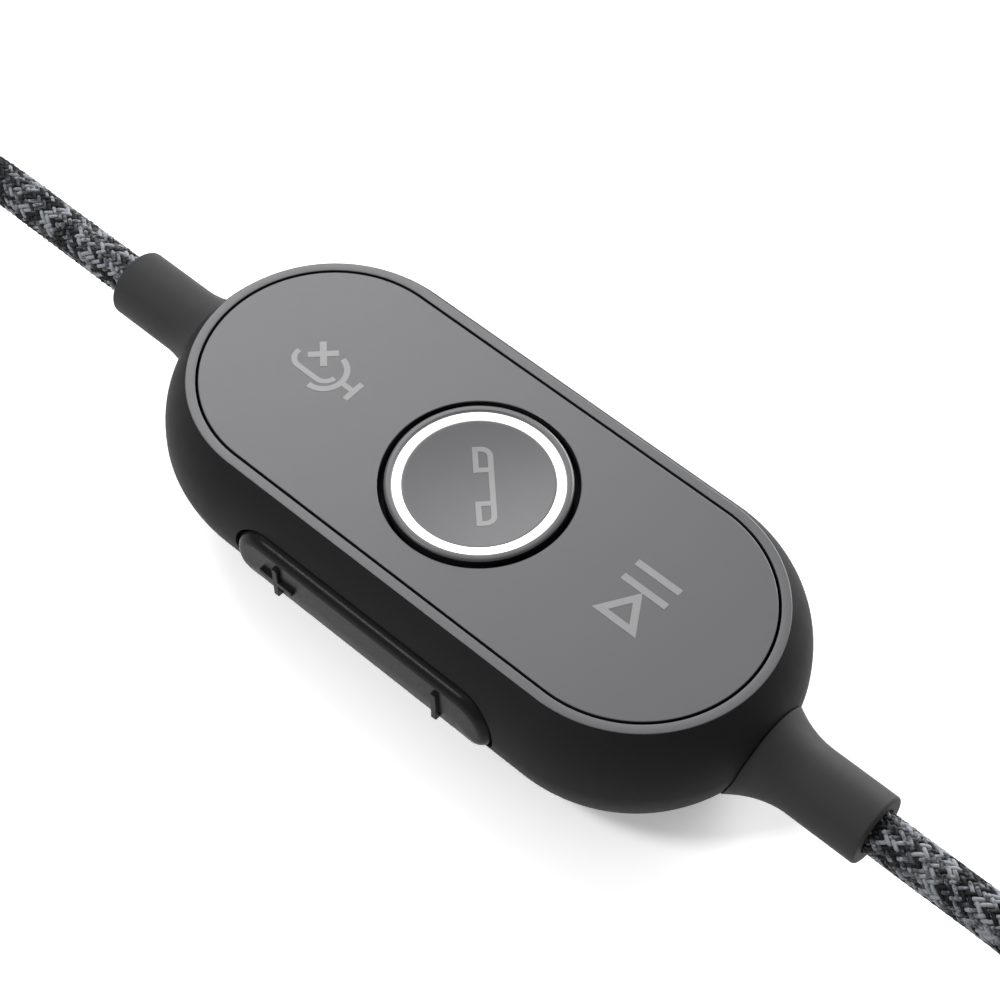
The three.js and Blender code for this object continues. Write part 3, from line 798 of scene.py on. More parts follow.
def solder_mask():
    # Glass-epoxy board, screen-printed solder mask: glossy green with copper traces showing as
    # slightly raised paler lines, 0.8 mm apart.
    green = linear("#1d5a3a")
    material, tree, shader = surface("glass_epoxy_solder_mask", green, 0.28, **{"IOR": 1.55})
    cells = add_node(tree, "ShaderNodeTexBrick", {
        "Vector": object_place(tree), "Scale": 1 / (4.0 * MM), "Color1": linear("#1a5235"),
        "Color2": linear("#1f6140"), "Mortar": linear("#3b8a60"), "Mortar Size": 0.03,
    })
    tree.links.new(cells.outputs["Color"], shader.inputs["Base Color"])
    bumped(tree, shader, cells.outputs["Fac"], 0.03, 0.6)
    return material


def clear_silicone():
    # Silicone rubber, compression moulded: milky, soft-edged shine, a little light passes through.
    milk = linear("#dcdcd6")
    material, tree, shader = surface("silicone_compression_moulded", milk, 0.45,
                                     **{"IOR": 1.41, "Subsurface Weight": 0.3, "Subsurface Scale": 0.001})
    mottled(tree, shader, milk, 2.0, 0.03, 0.45, 0.05)
    return material


def dressed(obj, *materials):
    obj.data.materials.clear()
    for material in materials:
        obj.data.materials.append(material)
    return obj


def belongs(piece, body, slot, *nodes):
    """The piece rides on a body and stands for frame nodes, which it hides. The slot is not used."""
    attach(piece, body)
    if nodes:
        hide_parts(*nodes)
    return piece


# ---------------------------------------------------------------- node trees

def braid_tree():
    """Winds round strands along a path in both directions, each two over and two under the others."""
    tree = bpy.data.node_groups.new("Braided sleeve", "GeometryNodeTree")
    sockets = tree.interface
    sockets.new_socket("Path", in_out="INPUT", socket_type="NodeSocketGeometry")
    kinds = {"Int": ("Strands", "Points", "Sides"), "Material": ("Yarn",),
             "Float": ("Sleeve radius", "Strand radius", "Lift", "Pitch", "Wander")}
    for kind, labels in kinds.items():
        for label in labels:
            sockets.new_socket(label, in_out="INPUT", socket_type="NodeSocket" + kind)
    sockets.new_socket("Sleeve", in_out="OUTPUT", socket_type="NodeSocketGeometry")
    given = add_node(tree, "NodeGroupInput").outputs
    both = add_node(tree, "GeometryNodeJoinGeometry")

    def math_field(operation, a, b=0.0, c=0.0):
        return field_math(tree, operation, a, b, c)

    def vector(operation, inputs):
        return add_node(tree, "ShaderNodeVectorMath", inputs, operation=operation).outputs[0]

    length = add_node(tree, "GeometryNodeCurveLength", {0: given["Path"]}).outputs[0]
    for way, first in ((1.0, 0.0), (-1.0, 100.0)):
        line = add_node(tree, "GeometryNodeCurvePrimitiveLine")
        fine = add_node(tree, "GeometryNodeResampleCurve",
                        {"Curve": line.outputs[0], "Count": given["Points"]})
        copies = add_node(tree, "GeometryNodeDuplicateElements",
                          {"Geometry": fine.outputs[0], "Amount": given["Strands"]}, domain="SPLINE")
        number = copies.outputs["Duplicate Index"]
        share = add_node(tree, "GeometryNodeSplineParameter").outputs["Factor"]
        run = math_field("MULTIPLY", share, length)
        spot = add_node(tree, "GeometryNodeSampleCurve",
                        {"Curves": given["Path"], "Length": run}, mode="LENGTH")
        turn = math_field("MULTIPLY", math_field("DIVIDE", run, given["Pitch"]), way)
        start = math_field("DIVIDE", number, given["Strands"])
        angle = math_field("MULTIPLY", math_field("ADD", start, turn), 2 * math.pi)
        columns = math_field("MULTIPLY", angle, math_field("DIVIDE", given["Strands"], 2.0))
        wave = math_field("COSINE", math_field("SUBTRACT", columns, math.pi / 4))
        steep = math_field("MULTIPLY", wave, 1.5 * way)
        flat = add_node(tree, "ShaderNodeClamp", {0: steep, 1: -1.0, 2: 1.0})
        radius = math_field("MULTIPLY_ADD", flat.outputs[0], given["Lift"], given["Sleeve radius"])
        strand = math_field("ADD", number, first)
        in_mm = math_field("DIVIDE", run, MM)
        spread_out = math_field("MULTIPLY", strand, 5.1)
        place_in_noise = add_node(tree, "ShaderNodeCombineXYZ", {"X": spread_out, "Y": in_mm})
        loose = add_node(tree, "ShaderNodeTexNoise",
                         {"Vector": place_in_noise.outputs[0], "Scale": 0.9}).outputs["Fac"]
        wander = math_field("MULTIPLY", math_field("SUBTRACT", loose, 0.5), given["Wander"])
        radius = math_field("ADD", radius, math_field("MULTIPLY", wander, 0.5))
        angle = math_field("ADD", angle, math_field("DIVIDE", wander, given["Sleeve radius"]))
        normal, tangent = spot.outputs["Normal"], spot.outputs["Tangent"]
        side = vector("CROSS_PRODUCT", {0: tangent, 1: normal})
        reach_a = math_field("MULTIPLY", radius, math_field("COSINE", angle))
        reach_b = math_field("MULTIPLY", radius, math_field("SINE", angle))
        part_a = vector("SCALE", {0: normal, "Scale": reach_a})
        part_b = vector("SCALE", {0: side, "Scale": reach_b})
        offset = vector("ADD", {0: part_a, 1: part_b})
        place = vector("ADD", {0: spot.outputs["Position"], 1: offset})
        moved = add_node(tree, "GeometryNodeSetPosition",
                         {"Geometry": copies.outputs[0], "Position": place})
        for label, value in (("strand", strand), ("run", in_mm)):
            moved = add_node(tree, "GeometryNodeStoreNamedAttribute",
                             {"Geometry": moved.outputs[0], "Name": label, "Value": value},
                             data_type="FLOAT")
        ring = add_node(tree, "GeometryNodeCurvePrimitiveCircle",
                        {"Resolution": given["Sides"], "Radius": given["Strand radius"]})
        skin = add_node(tree, "GeometryNodeCurveToMesh",
                        {"Curve": moved.outputs[0], "Profile Curve": ring.outputs[0], "Fill Caps": True})
        tree.links.new(skin.outputs[0], both.inputs[0])
    solid = add_node(tree, "GeometryNodeRealizeInstances", {0: both.outputs[0]})
    coloured = add_node(tree, "GeometryNodeSetMaterial",
                        {"Geometry": solid.outputs[0], "Material": given["Yarn"]})
    add_node(tree, "NodeGroupOutput", {0: coloured.outputs[0]})
    return tree


def node_made(name, tree, values, points=None, carrier=None):
    """Runs a geometry tree on a carrier object or on loose points, and keeps the plain mesh."""
    if carrier is None:
        mesh = bpy.data.meshes.new(name)
        mesh.from_pydata([tuple(p) for p in points], [], [])
        carrier = bpy.data.objects.new(name + "_carrier", mesh)
        bpy.context.scene.collection.objects.link(carrier)
    step = carrier.modifiers.new("build", "NODES")
    step.node_group = tree
    for item in tree.interface.items_tree:
        if item.item_type == "SOCKET" and item.in_out == "INPUT" and item.name in values:
            step[item.identifier] = values[item.name]
    bpy.context.view_layer.update()
    shape = carrier.evaluated_get(bpy.context.evaluated_depsgraph_get())
    mesh = bpy.data.meshes.new_from_object(shape)
    mesh.name = name
    bpy.data.objects.remove(carrier)
    piece = bpy.data.objects.new(name, mesh)
    bpy.context.scene.collection.objects.link(piece)
    for face in mesh.polygons:
        face.use_smooth = True
    return piece


def path_curve(name, line_mm):
    """A poly curve along a line, as a carrier for a geometry tree."""
    curve = bpy.data.curves.new(name, "CURVE")
    curve.dimensions = "3D"
    spline = curve.splines.new("POLY")
    spline.points.add(len(line_mm) - 1)
    flat = np.hstack([line_mm * MM, np.ones((len(line_mm), 1))])
    spline.points.foreach_set("co", flat.ravel())
    obj = bpy.data.objects.new(name, curve)
    bpy.context.scene.collection.objects.link(obj)
    return obj


def scattered_tree(name, pattern):
    """Puts one copy of a pattern object on every point given."""
    tree = bpy.data.node_groups.new(name, "GeometryNodeTree")
    tree.interface.new_socket("Places", in_out="INPUT", socket_type="NodeSocketGeometry")
    tree.interface.new_socket("Size", in_out="INPUT", socket_type="NodeSocketFloat")
    tree.interface.new_socket("Finish", in_out="INPUT", socket_type="NodeSocketMaterial")
    tree.interface.new_socket("Copies", in_out="OUTPUT", socket_type="NodeSocketGeometry")
    given = add_node(tree, "NodeGroupInput").outputs
    one = add_node(tree, "GeometryNodeObjectInfo", {"Object": pattern})
    copies = add_node(tree, "GeometryNodeInstanceOnPoints",
                      {"Points": given["Places"], "Instance": one.outputs["Geometry"]})
    scaled = add_node(tree, "GeometryNodeScaleInstances", {"Instances": copies.outputs[0]})
    tree.links.new(given["Size"], scaled.inputs["Scale"])
    solid = add_node(tree, "GeometryNodeRealizeInstances", {0: scaled.outputs[0]})
    coloured = add_node(tree, "GeometryNodeSetMaterial",
                        {"Geometry": solid.outputs[0], "Material": given["Finish"]})
    add_node(tree, "NodeGroupOutput", {0: coloured.outputs[0]})
    return tree


# ---------------------------------------------------------------- settings

class FinishSettings(bpy.types.PropertyGroup):
    """Colours of the remote's surfaces."""

    housing: FloatVectorProperty(name="Housing", description="Soft-touch lacquer of the shell and base",
                                 subtype="COLOR", size=4, min=0, max=1, default=linear("#1e1e1f"))
    # The key grey also stands partly for painted light on the up-facing faces of the rim, plate and shoulder.
    keys: FloatVectorProperty(name="Keys", description="Satin lacquer of the rim, key plate and call button",
                              subtype="COLOR", size=4, min=0, max=1, default=linear("#525254"))
    ink: FloatVectorProperty(name="Symbols", description="Ink of the printed symbols",
                             subtype="COLOR", size=4, min=0, max=1, default=linear("#7a7a7a"))
    rubber: FloatVectorProperty(name="Strain reliefs", description="Elastomer of the strain reliefs",
                                subtype="COLOR", size=4, min=0, max=1, default=linear("#323233"))
    volume: FloatVectorProperty(name="Volume key", description="Elastomer of the volume key",
                                subtype="COLOR", size=4, min=0, max=1, default=linear("#1c1c1d"))
    glow: FloatProperty(name="Ring light", description="Brightness of the lit ring", min=0, default=1.0)


class CordSettings(bpy.types.PropertyGroup):
    """The braided cords."""

    diameter: FloatProperty(name="Diameter", description="Over the braid", unit="LENGTH",
                            min=0.001, default=2 * CORD_R * MM)
    strands: IntProperty(name="Strands", description="Strands wound each way, an even number",
                         min=8, max=40, default=22)
    dark: FloatVectorProperty(name="Dark yarn", description="Darker colour of the space-dyed yarn",
                              subtype="COLOR", size=4, min=0, max=1, default=linear("#0e0f11"))
    light: FloatVectorProperty(name="Pale yarn", description="Paler colour of the space-dyed yarn",
                               subtype="COLOR", size=4, min=0, max=1, default=linear("#83868b"))


class StageSettings(bpy.types.PropertyGroup):
    """Floor, lights and camera."""

    lens: FloatProperty(name="Lens", description="Focal length in millimetres", min=10, default=CAMERA_LENS)
    floor: FloatVectorProperty(name="Floor", description="Colour of the paper backdrop",
                               subtype="COLOR", size=4, min=0, max=1, default=linear("#f6f6f6"))
    table: FloatProperty(name="Table light", description="Brightness of the light table itself",
                         min=0, default=0.36)
    room: FloatProperty(name="Room light", description="Strength of the even light all round",
                        min=0, default=0.22)
    overhead: FloatProperty(name="Overhead light", description="Power of the large light above",
                            unit="POWER", min=0, default=0.9)
    left: FloatProperty(name="Left light", description="Power of the light that the satin faces reflect",
                        unit="POWER", min=0, default=2.0)
    behind: FloatProperty(name="Back light", description="Power of the low light behind",
                          unit="POWER", min=0, default=5.0)
    strip: FloatProperty(name="Front light", description="Power of the small light on rounded edges",
                         unit="POWER", min=0, default=1.5)


FINISHES = {}


def shared(name, maker, *values):
    """A material that several pieces use, made once."""
    if name not in FINISHES:
        FINISHES[name] = maker(*values)
    return FINISHES[name]


def key_grey():
    return shared("keys", satin_lacquer, bpy.context.scene.remote_finish.keys)


def housing_black():
    return shared("housing", soft_touch, bpy.context.scene.remote_finish.housing)


def ink():
    return shared("ink", printed_ink, bpy.context.scene.remote_finish.ink)


def rubber():
    colour = bpy.context.scene.remote_finish.rubber
    return shared("rubber", elastomer, colour, "elastomer_moulded_eroded", 0.6, 0.1)


def smooth_rubber():
    colour = bpy.context.scene.remote_finish.volume
    return shared("smooth rubber", elastomer, colour, "elastomer_moulded_fine", 0.26, 0.05)


# ---------------------------------------------------------------- operators

class REMOTE_OT_stage(bpy.types.Operator):
    """Adds the floor, the soft lights and the camera."""

    bl_idname = "headset_remote.stage"
    bl_label = "Stage"

    def execute(self, context):
        settings = context.scene.remote_stage
        context.scene.view_settings.view_transform = "Standard"
        self.add_camera(context, settings)
        self.add_floor(settings)
        self.add_lights(context, settings)
        return {"FINISHED"}

    def add_camera(self, context, settings):
        data = bpy.data.cameras.new("camera")
        data.lens = settings.lens
        data.sensor_width = 36.0
        data.clip_start = 0.01
        camera = bpy.data.objects.new("camera", data)
        turn = (Matrix.Rotation(math.radians(CAMERA_TURN), 3, "Z")
                @ Matrix.Rotation(math.radians(90 - CAMERA_ELEVATION), 3, "X")
                @ Matrix.Rotation(math.radians(CAMERA_ROLL), 3, "Z"))
        back = turn @ Vector((0, 0, 1))
        camera.matrix_world = Matrix.Translation(Vector(CAMERA_AIM) + back * CAMERA_DISTANCE) @ turn.to_4x4()
        context.scene.collection.objects.link(camera)
        context.scene.camera = camera

    def add_floor(self, settings):
        # Opal acrylic light table, matt: an even white ground whose own light thins the shadows.
        half = 3.0
        mesh = bpy.data.meshes.new("floor")
        corners = [(-half, -half, 0), (half, -half, 0), (half, half, 0), (-half, half, 0)]
        mesh.from_pydata(corners, [], [(0, 1, 2, 3)])
        floor = bpy.data.objects.new("floor", mesh)
        bpy.context.scene.collection.objects.link(floor)
        material, tree, shader = surface("acrylic_opal_light_table", settings.floor, 0.9, **{
            "Specular IOR Level": 0.1, "Emission Color": settings.floor, "Emission Strength": settings.table})
        mottled(tree, shader, settings.floor, 40.0, 0.004, 0.9, 0.02)
        dressed(floor, material)

    def add_lights(self, context, settings):
        world = bpy.data.worlds.new("studio")
        world.use_nodes = True
        world.node_tree.nodes["Background"].inputs["Color"].default_value = (1, 1, 1, 1)
        world.node_tree.nodes["Background"].inputs["Strength"].default_value = settings.room
        context.scene.world = world
        self.add_area("overhead", (0.06, 0.0, 0.75), 0.50, settings.overhead)
        self.add_area("left", (-0.34, 0.21, 0.36), 0.34, settings.left)
        self.add_area("behind", (0.0, 0.55, 0.17), 0.40, settings.behind)
        self.add_area("front_strip", (-0.20, -0.26, 0.42), 0.10, settings.strip)

    def add_area(self, name, place, size, power):
        data = bpy.data.lights.new(name, "AREA")
        data.shape = "SQUARE"
        data.size = size
        data.energy = power
        lamp = bpy.data.objects.new(name, data)
        lamp.location = place
        lamp.rotation_mode = "QUATERNION"
        lamp.rotation_quaternion = (-Vector(place)).to_track_quat("-Z", "Y")
        bpy.context.scene.collection.objects.link(lamp)


def pin_hole(start, end, place):
    """Cutting tool for the hole that a pivot pin turns in."""
    outer = [(PIN_HOLE_R, start), (PIN_HOLE_R, end)]
    return drawn_out("pin", [(0, start), *outer, (0, end)], arcs=12, place=place)


def painted_light_grey_tops(obj, above, slope=0.7, within=0.0):
    """Black piece whose faces that look up, above a height, carry the grey lacquer.

    The grey on the tops is partly lacquer and partly painted light, and the black walls and edges are partly
    painted shade of the gaps between parts. Faces nearer the middle than within are grey too, whichever way
    they look.
    """
    # Painted light and shade: tops that look up are grey partly for the light falling on them, walls and
    # edges black partly for the shade in the gaps.
    dressed(obj, housing_black(), key_grey())
    for face in obj.data.polygons:
        near = math.hypot(face.center.x, face.center.y) < within * MM
        if near or (face.normal.z > slope and face.center.z > above * MM):
            face.material_index = 1


class REMOTE_OT_housing(bpy.types.Operator):
    """Builds the upper shell with its flat rim, and the base cover below it."""

    bl_idname = "headset_remote.housing"
    bl_label = "Housing"

    def execute(self, context):
        self.add_shell()
        self.add_base()
        return {"FINISHED"}

    def add_shell(self):
        outer = [(side_radius(z), z, 0) for z in np.arange(PARTING_Z + SIDE_STEP, HEIGHT - 0.1, SIDE_STEP)]
        inner = [(side_radius(z) - WALL, z, 0) for z in np.arange(OPENING_FLOOR_Z, PARTING_Z, -1.0)]
        profile = [(side_radius(PARTING_Z), PARTING_Z, LIP_ROUNDING), *outer, (RIM_R, HEIGHT, LIP_ROUNDING),
                   (OPENING_R - LACQUER, HEIGHT, 0.1), (OPENING_R - LACQUER, OPENING_FLOOR_Z, 0), *inner,
                   (side_radius(PARTING_Z) - WALL, PARTING_Z, 0)]
        shell = drawn_out("housing_shell", filleted(profile, closed=True), END_CENTRE, closed=True)
        key_r = KEY_HALF_HIGH + SEAM
        window = drawn_out("window", [(0, 8), (key_r, 8), (key_r, 20), (0, 20)], KEY_HALF - KEY_HALF_HIGH,
                           arcs=24, straights=2, place=turned_to("-Y", z=WIDEST_Z))
        hole = [(0, 24), (RELIEF_HOLE_R, 24), (RELIEF_HOLE_R, 40), (0, 40)]
        holes = [drawn_out("hole", hole, arcs=24, place=turned_to(axis, z=CORD_Z)) for axis in ("-X", "+X")]
        combined(shell, "DIFFERENCE", [window, *holes])
        softened(shell)
        # The rim's up-facing faces take the grey, partly lacquer and partly painted light; the walls of the
        # opening stay black, partly painted shade.
        painted_light_grey_tops(shell, HEIGHT - 0.15)
        belongs(shell, "housing", "soft_touch_housing", "upper_shell")

    def add_base(self):
        top = PARTING_Z - SEAM
        foot = side_radius(0) - FOOT_INSET
        side = [(side_radius(z), z, 0) for z in np.arange(0.7, top - 0.2, SIDE_STEP)]
        profile = [(0, 0, 0), (foot, 0, 0.4), (side_radius(0.4), 0.4, 0), *side,
                   (side_radius(top), top, LIP_ROUNDING), (side_radius(top) - WALL, top, 0),
                   (side_radius(FLOOR_Z) - BASE_WALL, FLOOR_Z, 0.3), (0, FLOOR_Z, 0)]
        base = drawn_out("housing_base", filleted(profile), END_CENTRE)
        post = drawn_out("post", [(0, 1.5), (1.6, 1.5), (1.6, 5.0), (0, 5.0)], arcs=16,
                         place=turned_to("+Z", y=KEY_AXIS_Y + 0.2))
        combined(base, "UNION", [post])
        # Counterbore with a broken edge, then the screw's clearance hole
        recess = [(0, -1), (2.1, -1), (2.05, -0.01), (1.9, 0.15), (1.9, 1.35), (1.05, 1.35),
                  (1.05, 5), (0, 5)]
        cutters = [drawn_out("recess", recess, arcs=20, place=turned_to("+Z", x, y)) for x, y in BOSSES]
        cutters.append(pin_hole(3.4, 6, turned_to("+Z", y=KEY_AXIS_Y)))
        combined(base, "DIFFERENCE", cutters)
        softened(base)
        dressed(base, housing_black())
        belongs(base, "housing", "soft_touch_housing", "base_cover")


class REMOTE_OT_base_screws(bpy.types.Operator):
    """Sets four cross-head screws in the base cover."""

    bl_idname = "headset_remote.base_screws"
    bl_label = "Base screws"

    def execute(self, context):
        head = filleted([(0, 0.35, 0), (1.6, 0.35, 0.15), (1.6, 0.75, 0.05), (0.75, 1.2, 0), (0.75, 6.4, 0),
                         (0.4, 6.9, 0), (0, 7.0, 0)])
        screw = drawn_out("screw", head, arcs=16)
        half_long, half_wide, slot_top = 0.95, 0.17, 0.8
        slots = [block("slot", (-a, -b, 0), (a, b, slot_top))
                 for a, b in ((half_long, half_wide), (half_wide, half_long))]
        combined(screw, "DIFFERENCE", slots)
        softened(screw, 28)
        tree = scattered_tree("Screws", screw)
        places = [(x * MM, y * MM, 0) for x, y in BOSSES]
        steel = shared("steel", turned_metal, "steel_zinc_plated_cold_headed", "#a9abad", 0.3, 0.2)
        screws = node_made("base_screws", tree, {"Size": 1.0, "Finish": steel}, points=places)
        bpy.data.objects.remove(screw)
        softened(screws, 28)
        belongs(screws, "housing", "steel", *[f"base_screw_{i}" for i in range(1, 5)])
        return {"FINISHED"}


class REMOTE_OT_key_plate(bpy.types.Operator):
    """Builds the rocking key plate with its mute and play symbols."""

    bl_idname = "headset_remote.key_plate"
    bl_label = "Key plate"

    def execute(self, context):
        self.add_plate()
        self.add_mute()
        self.add_play()
        return {"FINISHED"}

    def add_plate(self):
        edge_r = PLATE_R + LACQUER
        profile = [(0, PLATE_UNDER_Z, 0), (edge_r, PLATE_UNDER_Z, 0), (edge_r, HEIGHT, LIP_ROUNDING),
                   (0, HEIGHT, 0)]
        plate = drawn_out("rocking_key_plate", filleted(profile), END_CENTRE)
        lugs = [block("lug", (-1.5, low, 12.1), (1.5, low + 0.6, PLATE_UNDER_Z + 0.4)) for low in (9.2, -9.8)]
        nub = [(0, 14.3), (1.4, 14.3), (1.5, 14.4), (1.5, 15), (0, 15)]
        nubs = [drawn_out("nub", nub, arcs=12, place=turned_to("+Z", x)) for x in (-20, 20)]
        combined(plate, "UNION", lugs + nubs)
        edge = 0.14
        flare = [(PLATE_HOLE_R + edge - edge * math.cos(a), HEIGHT - edge + edge * math.sin(a))
                 for a in np.radians([0, 25, 50, 75])]
        hole = [(0, 14), (PLATE_HOLE_R, 14), *flare, (PLATE_HOLE_R + edge, HEIGHT + 0.02),
                (PLATE_HOLE_R + edge, 17), (0, 17)]
        pin = pin_hole(-12, 12, turned_to("-Y", z=PLATE_AXIS_Z))
        combined(plate, "DIFFERENCE", [drawn_out("hole", hole, arcs=72), pin])
        softened(plate)
        # Grey top with black edge and hole walls: partly lacquer, partly painted light on the top and painted
        # shade in the gaps round the plate and button.
        painted_light_grey_tops(plate, HEIGHT - 0.15)
        belongs(plate, "key_plate", "key_grey", "key_plate")

    def add_mute(self):
        # A capsule microphone on its stand, drawn on its side, with a small cross for off
        middle_y, capsule_r, yoke_r = -0.05, 1.13, 1.97
        cap_near, cap_far, yoke_x = -17.75, -19.95, -17.85
        cross_x, cross_y, arm = -19.2, 1.17, 0.955
        capsule = (arc((cap_far, middle_y), capsule_r, 172, 270, 10)
                   + arc((cap_near, middle_y), capsule_r, 270, 357, 10))
        yoke = arc((yoke_x, middle_y - 0.05), yoke_r, -91, 80, 20)
        foot_x = yoke_x + yoke_r + 1.47
        lines = [
            ([(cross_x - arm, cross_y - arm), (cross_x + arm, cross_y + arm)], 0.6),
            ([(cross_x - arm, cross_y + arm), (cross_x + arm, cross_y - arm)], 0.6),
            (capsule, 0.5), (yoke, 0.55), ([(yoke_x + yoke_r, -0.07), (foot_x, -0.07)], 0.5),
            ([(foot_x, -1.16), (foot_x, 1.01)], 0.55),
        ]
        self.add_symbol("mute_symbol", lines)

    def add_play(self):
        # Two bars and a triangle
        left, right, bar = 14.9, 19.5, 0.65
        low, tip = -3.0, 0.68
        inset = bar / 2
        slope = math.hypot((right - left) / 2, tip - low)
        rise = inset * slope / ((right - left) / 2)
        side = inset * (slope + (right - left) / 2) / (tip - low)
        triangle = [(left + side, low + inset), ((left + right) / 2, tip - rise), (right - side, low + inset)]
        lines = [([(left, y), (right, y)], bar) for y in (0.95, 2.72)]
        self.add_symbol("play_symbol", lines, [(triangle, bar)])

    def add_symbol(self, name, lines, loops=()):
        parts = [stroke(name, line, width, printed_top) for line, width in lines]
        parts += [stroke(name, line, width, printed_top, closed=True) for line, width in loops]
        symbol = combined(parts[0], "UNION", parts[1:])
        symbol.name = name
        softened(symbol)
        dressed(symbol, ink())
        belongs(symbol, "key_plate", "key_grey")


def printed_top(x, y):
    return HEIGHT + INK_PROUD


def dish_top(x, y):
    """Height of the call button's dished top."""
    share = math.hypot(x, y) / RING_INNER_R
    return HEIGHT - DISH_DEPTH * (1 - share ** 2)


class REMOTE_OT_call_button(bpy.types.Operator):
    """Builds the call button: shoulder, lit ring, dished cap and its handset symbol."""

    bl_idname = "headset_remote.call_button"
    bl_label = "Call button"

    def execute(self, context):
        top = HEIGHT + BUTTON_PROUD
        bore = RING_OUTER_R + FIT
        flange_r, flange_low, flange_high = 8.9, 13.4, 14.2
        shoulder = [(bore, flange_low, 0), (flange_r, flange_low, 0), (flange_r, flange_high, 0),
                    (BUTTON_R, flange_high, 0), (BUTTON_R, top, 0.32), (bore + 0.06, top, 0.04),
                    (bore, HEIGHT + 0.1, 0)]
        collar = self.add_turned("button_shoulder", shoulder, key_grey(), "key_grey",
                                 "call_button_shoulder", steps=8)
        # Painted shade: the shoulder's outer wall is black for the shaded gap round it; its top and the faces
        # near the middle are grey, partly painted light.
        painted_light_grey_tops(collar, HEIGHT, slope=0.45, within=bore + 0.3)
        glow = shared("opal", opal_diffuser, context.scene.remote_finish.glow)
        ring_top = HEIGHT + 0.08
        ring = [(RING_INNER_R, 13.5, 0), (RING_OUTER_R, 13.5, 0), (RING_OUTER_R, ring_top, 0.05),
                (RING_INNER_R, ring_top, 0.05)]
        self.add_turned("button_light_ring", ring, glow, "light_guide", "call_button_light_ring")
        edge = RING_INNER_R - FIT
        dish = [(r, dish_top(r, 0), 0) for r in np.linspace(edge - 0.3, 0, 16)]
        cap = [(0, 13.5, 0), (1.6, 13.5, 0), (1.6, 14.4, 0), (edge, 14.4, 0), (edge, HEIGHT, 0.08), *dish]
        self.add_turned("button_cap", cap, key_grey(), "key_grey", "call_button_cap", closed=False)
        self.add_handset()
        return {"FINISHED"}

    def add_turned(self, name, corners, material, slot, node, closed=True, steps=4):
        piece = drawn_out(name, filleted(corners, closed=closed, steps=steps), arcs=72, closed=closed)
        softened(piece)
        dressed(piece, material)
        return belongs(piece, "call_button", slot, node)

    def add_handset(self):
        # Two ear pieces and a handle, set out along the diagonal: p runs down it and q across
        outer, inner, front, back, middle = -3.66, -1.57, -0.17, 1.10, 0.15
        round_r = 0.76
        ear = [(outer, front), (inner, front), (inner, back),
               *arc((outer + round_r, back - round_r), round_r, 90, 180, 6)]
        mirrored = [(2 * middle - p, q) for p, q in ear]
        handle = [(inner - 0.3, back), (2 * middle - inner + 0.3, back)]
        parts = [stroke("handset", self.on_diagonal([*line, line[0]])[:-1], 0.48, self.ink_top, closed=True)
                 for line in (ear, mirrored)]
        parts.append(stroke("handset", self.on_diagonal(handle), 0.48, self.ink_top))
        symbol = combined(parts[0], "UNION", parts[1:])
        symbol.name = "handset_symbol"
        softened(symbol)
        dressed(symbol, ink())
        belongs(symbol, "call_button", "key_grey")

    def on_diagonal(self, line):
        return [((p + q) / math.sqrt(2), (q - p) / math.sqrt(2)) for p, q in subdivided(line)]

    def ink_top(self, x, y):
        return dish_top(x, y) + INK_PROUD


class REMOTE_OT_volume_key(bpy.types.Operator):
    """Builds the volume rocker with its raised plus and minus."""

    bl_idname = "headset_remote.volume_key"
    bl_label = "Volume key"

    def execute(self, context):
        face, flange = -KEY_FACE_Y, -KEY_FLANGE_Y
        flange_r, back = KEY_HALF_HIGH + 0.6, flange - 0.8
        profile = [(0, back, 0), (flange_r, back, 0), (flange_r, flange, 0.1), (KEY_HALF_HIGH, flange, 0),
                   (KEY_HALF_HIGH, face, 0.95), (1.6, face - 0.04, 0), (0, face - 0.06, 0)]
        straight = KEY_HALF - KEY_HALF_HIGH
        key = drawn_out("volume_rocker", filleted(profile, steps=10), straight, arcs=48, straights=24,
                        place=turned_to("-Y", z=WIDEST_Z))
        self.turn_in(key)
        rib = block("rib", (-1.8, KEY_FLANGE_Y + 0.5, 5.6), (1.8, -9.5, 8.5))
        long, thin, plus_x, minus_x = 1.9, 0.3, -9.2, 8.9
        bars = [self.bar(plus_x, thin, long), self.bar(plus_x, long, thin), self.bar(minus_x, thin, long)]
        combined(key, "UNION", [rib, *bars])
        combined(key, "DIFFERENCE", [pin_hole(4, 10, turned_to("+Z", y=KEY_AXIS_Y))])
        softened(key, 35)
        dressed(key, smooth_rubber())
        belongs(key, "volume_key", "elastomer", "volume_key")
        return {"FINISHED"}

    def turn_in(self, key):
        """Bends the lower part of the face inwards, as the housing's side does."""
        start, radius = 8.15, 3.0
        for point in key.data.vertices:
            z, y = point.co.z / MM, point.co.y / MM
            if z < start and y < KEY_FLANGE_Y - 0.5:
                share = min(1.0, (KEY_FLANGE_Y - 0.5 - y) / 1.5)
                point.co.y += share * (radius - math.sqrt(radius ** 2 - (start - z) ** 2)) * MM

    def bar(self, x, half_x, half_z):
        """A raised bar on the key's face, its outer edges rounded."""
        outer = [(x + dx, z) for dx, z in rounded_outline(2 * half_x, 2 * half_z, 0.1, 3)]
        inner = [(x + dx, z) for dx, z in rounded_outline(2 * half_x - 0.12, 2 * half_z - 0.12, 0.05, 3)]
        depths = ((outer, KEY_FACE_Y + 0.5), (outer, KEY_LOW[1] + 0.07), (inner, KEY_LOW[1]))
        return lofted("bar", [[(px, y, WIDEST_Z + pz) for px, pz in ring] for ring, y in depths])


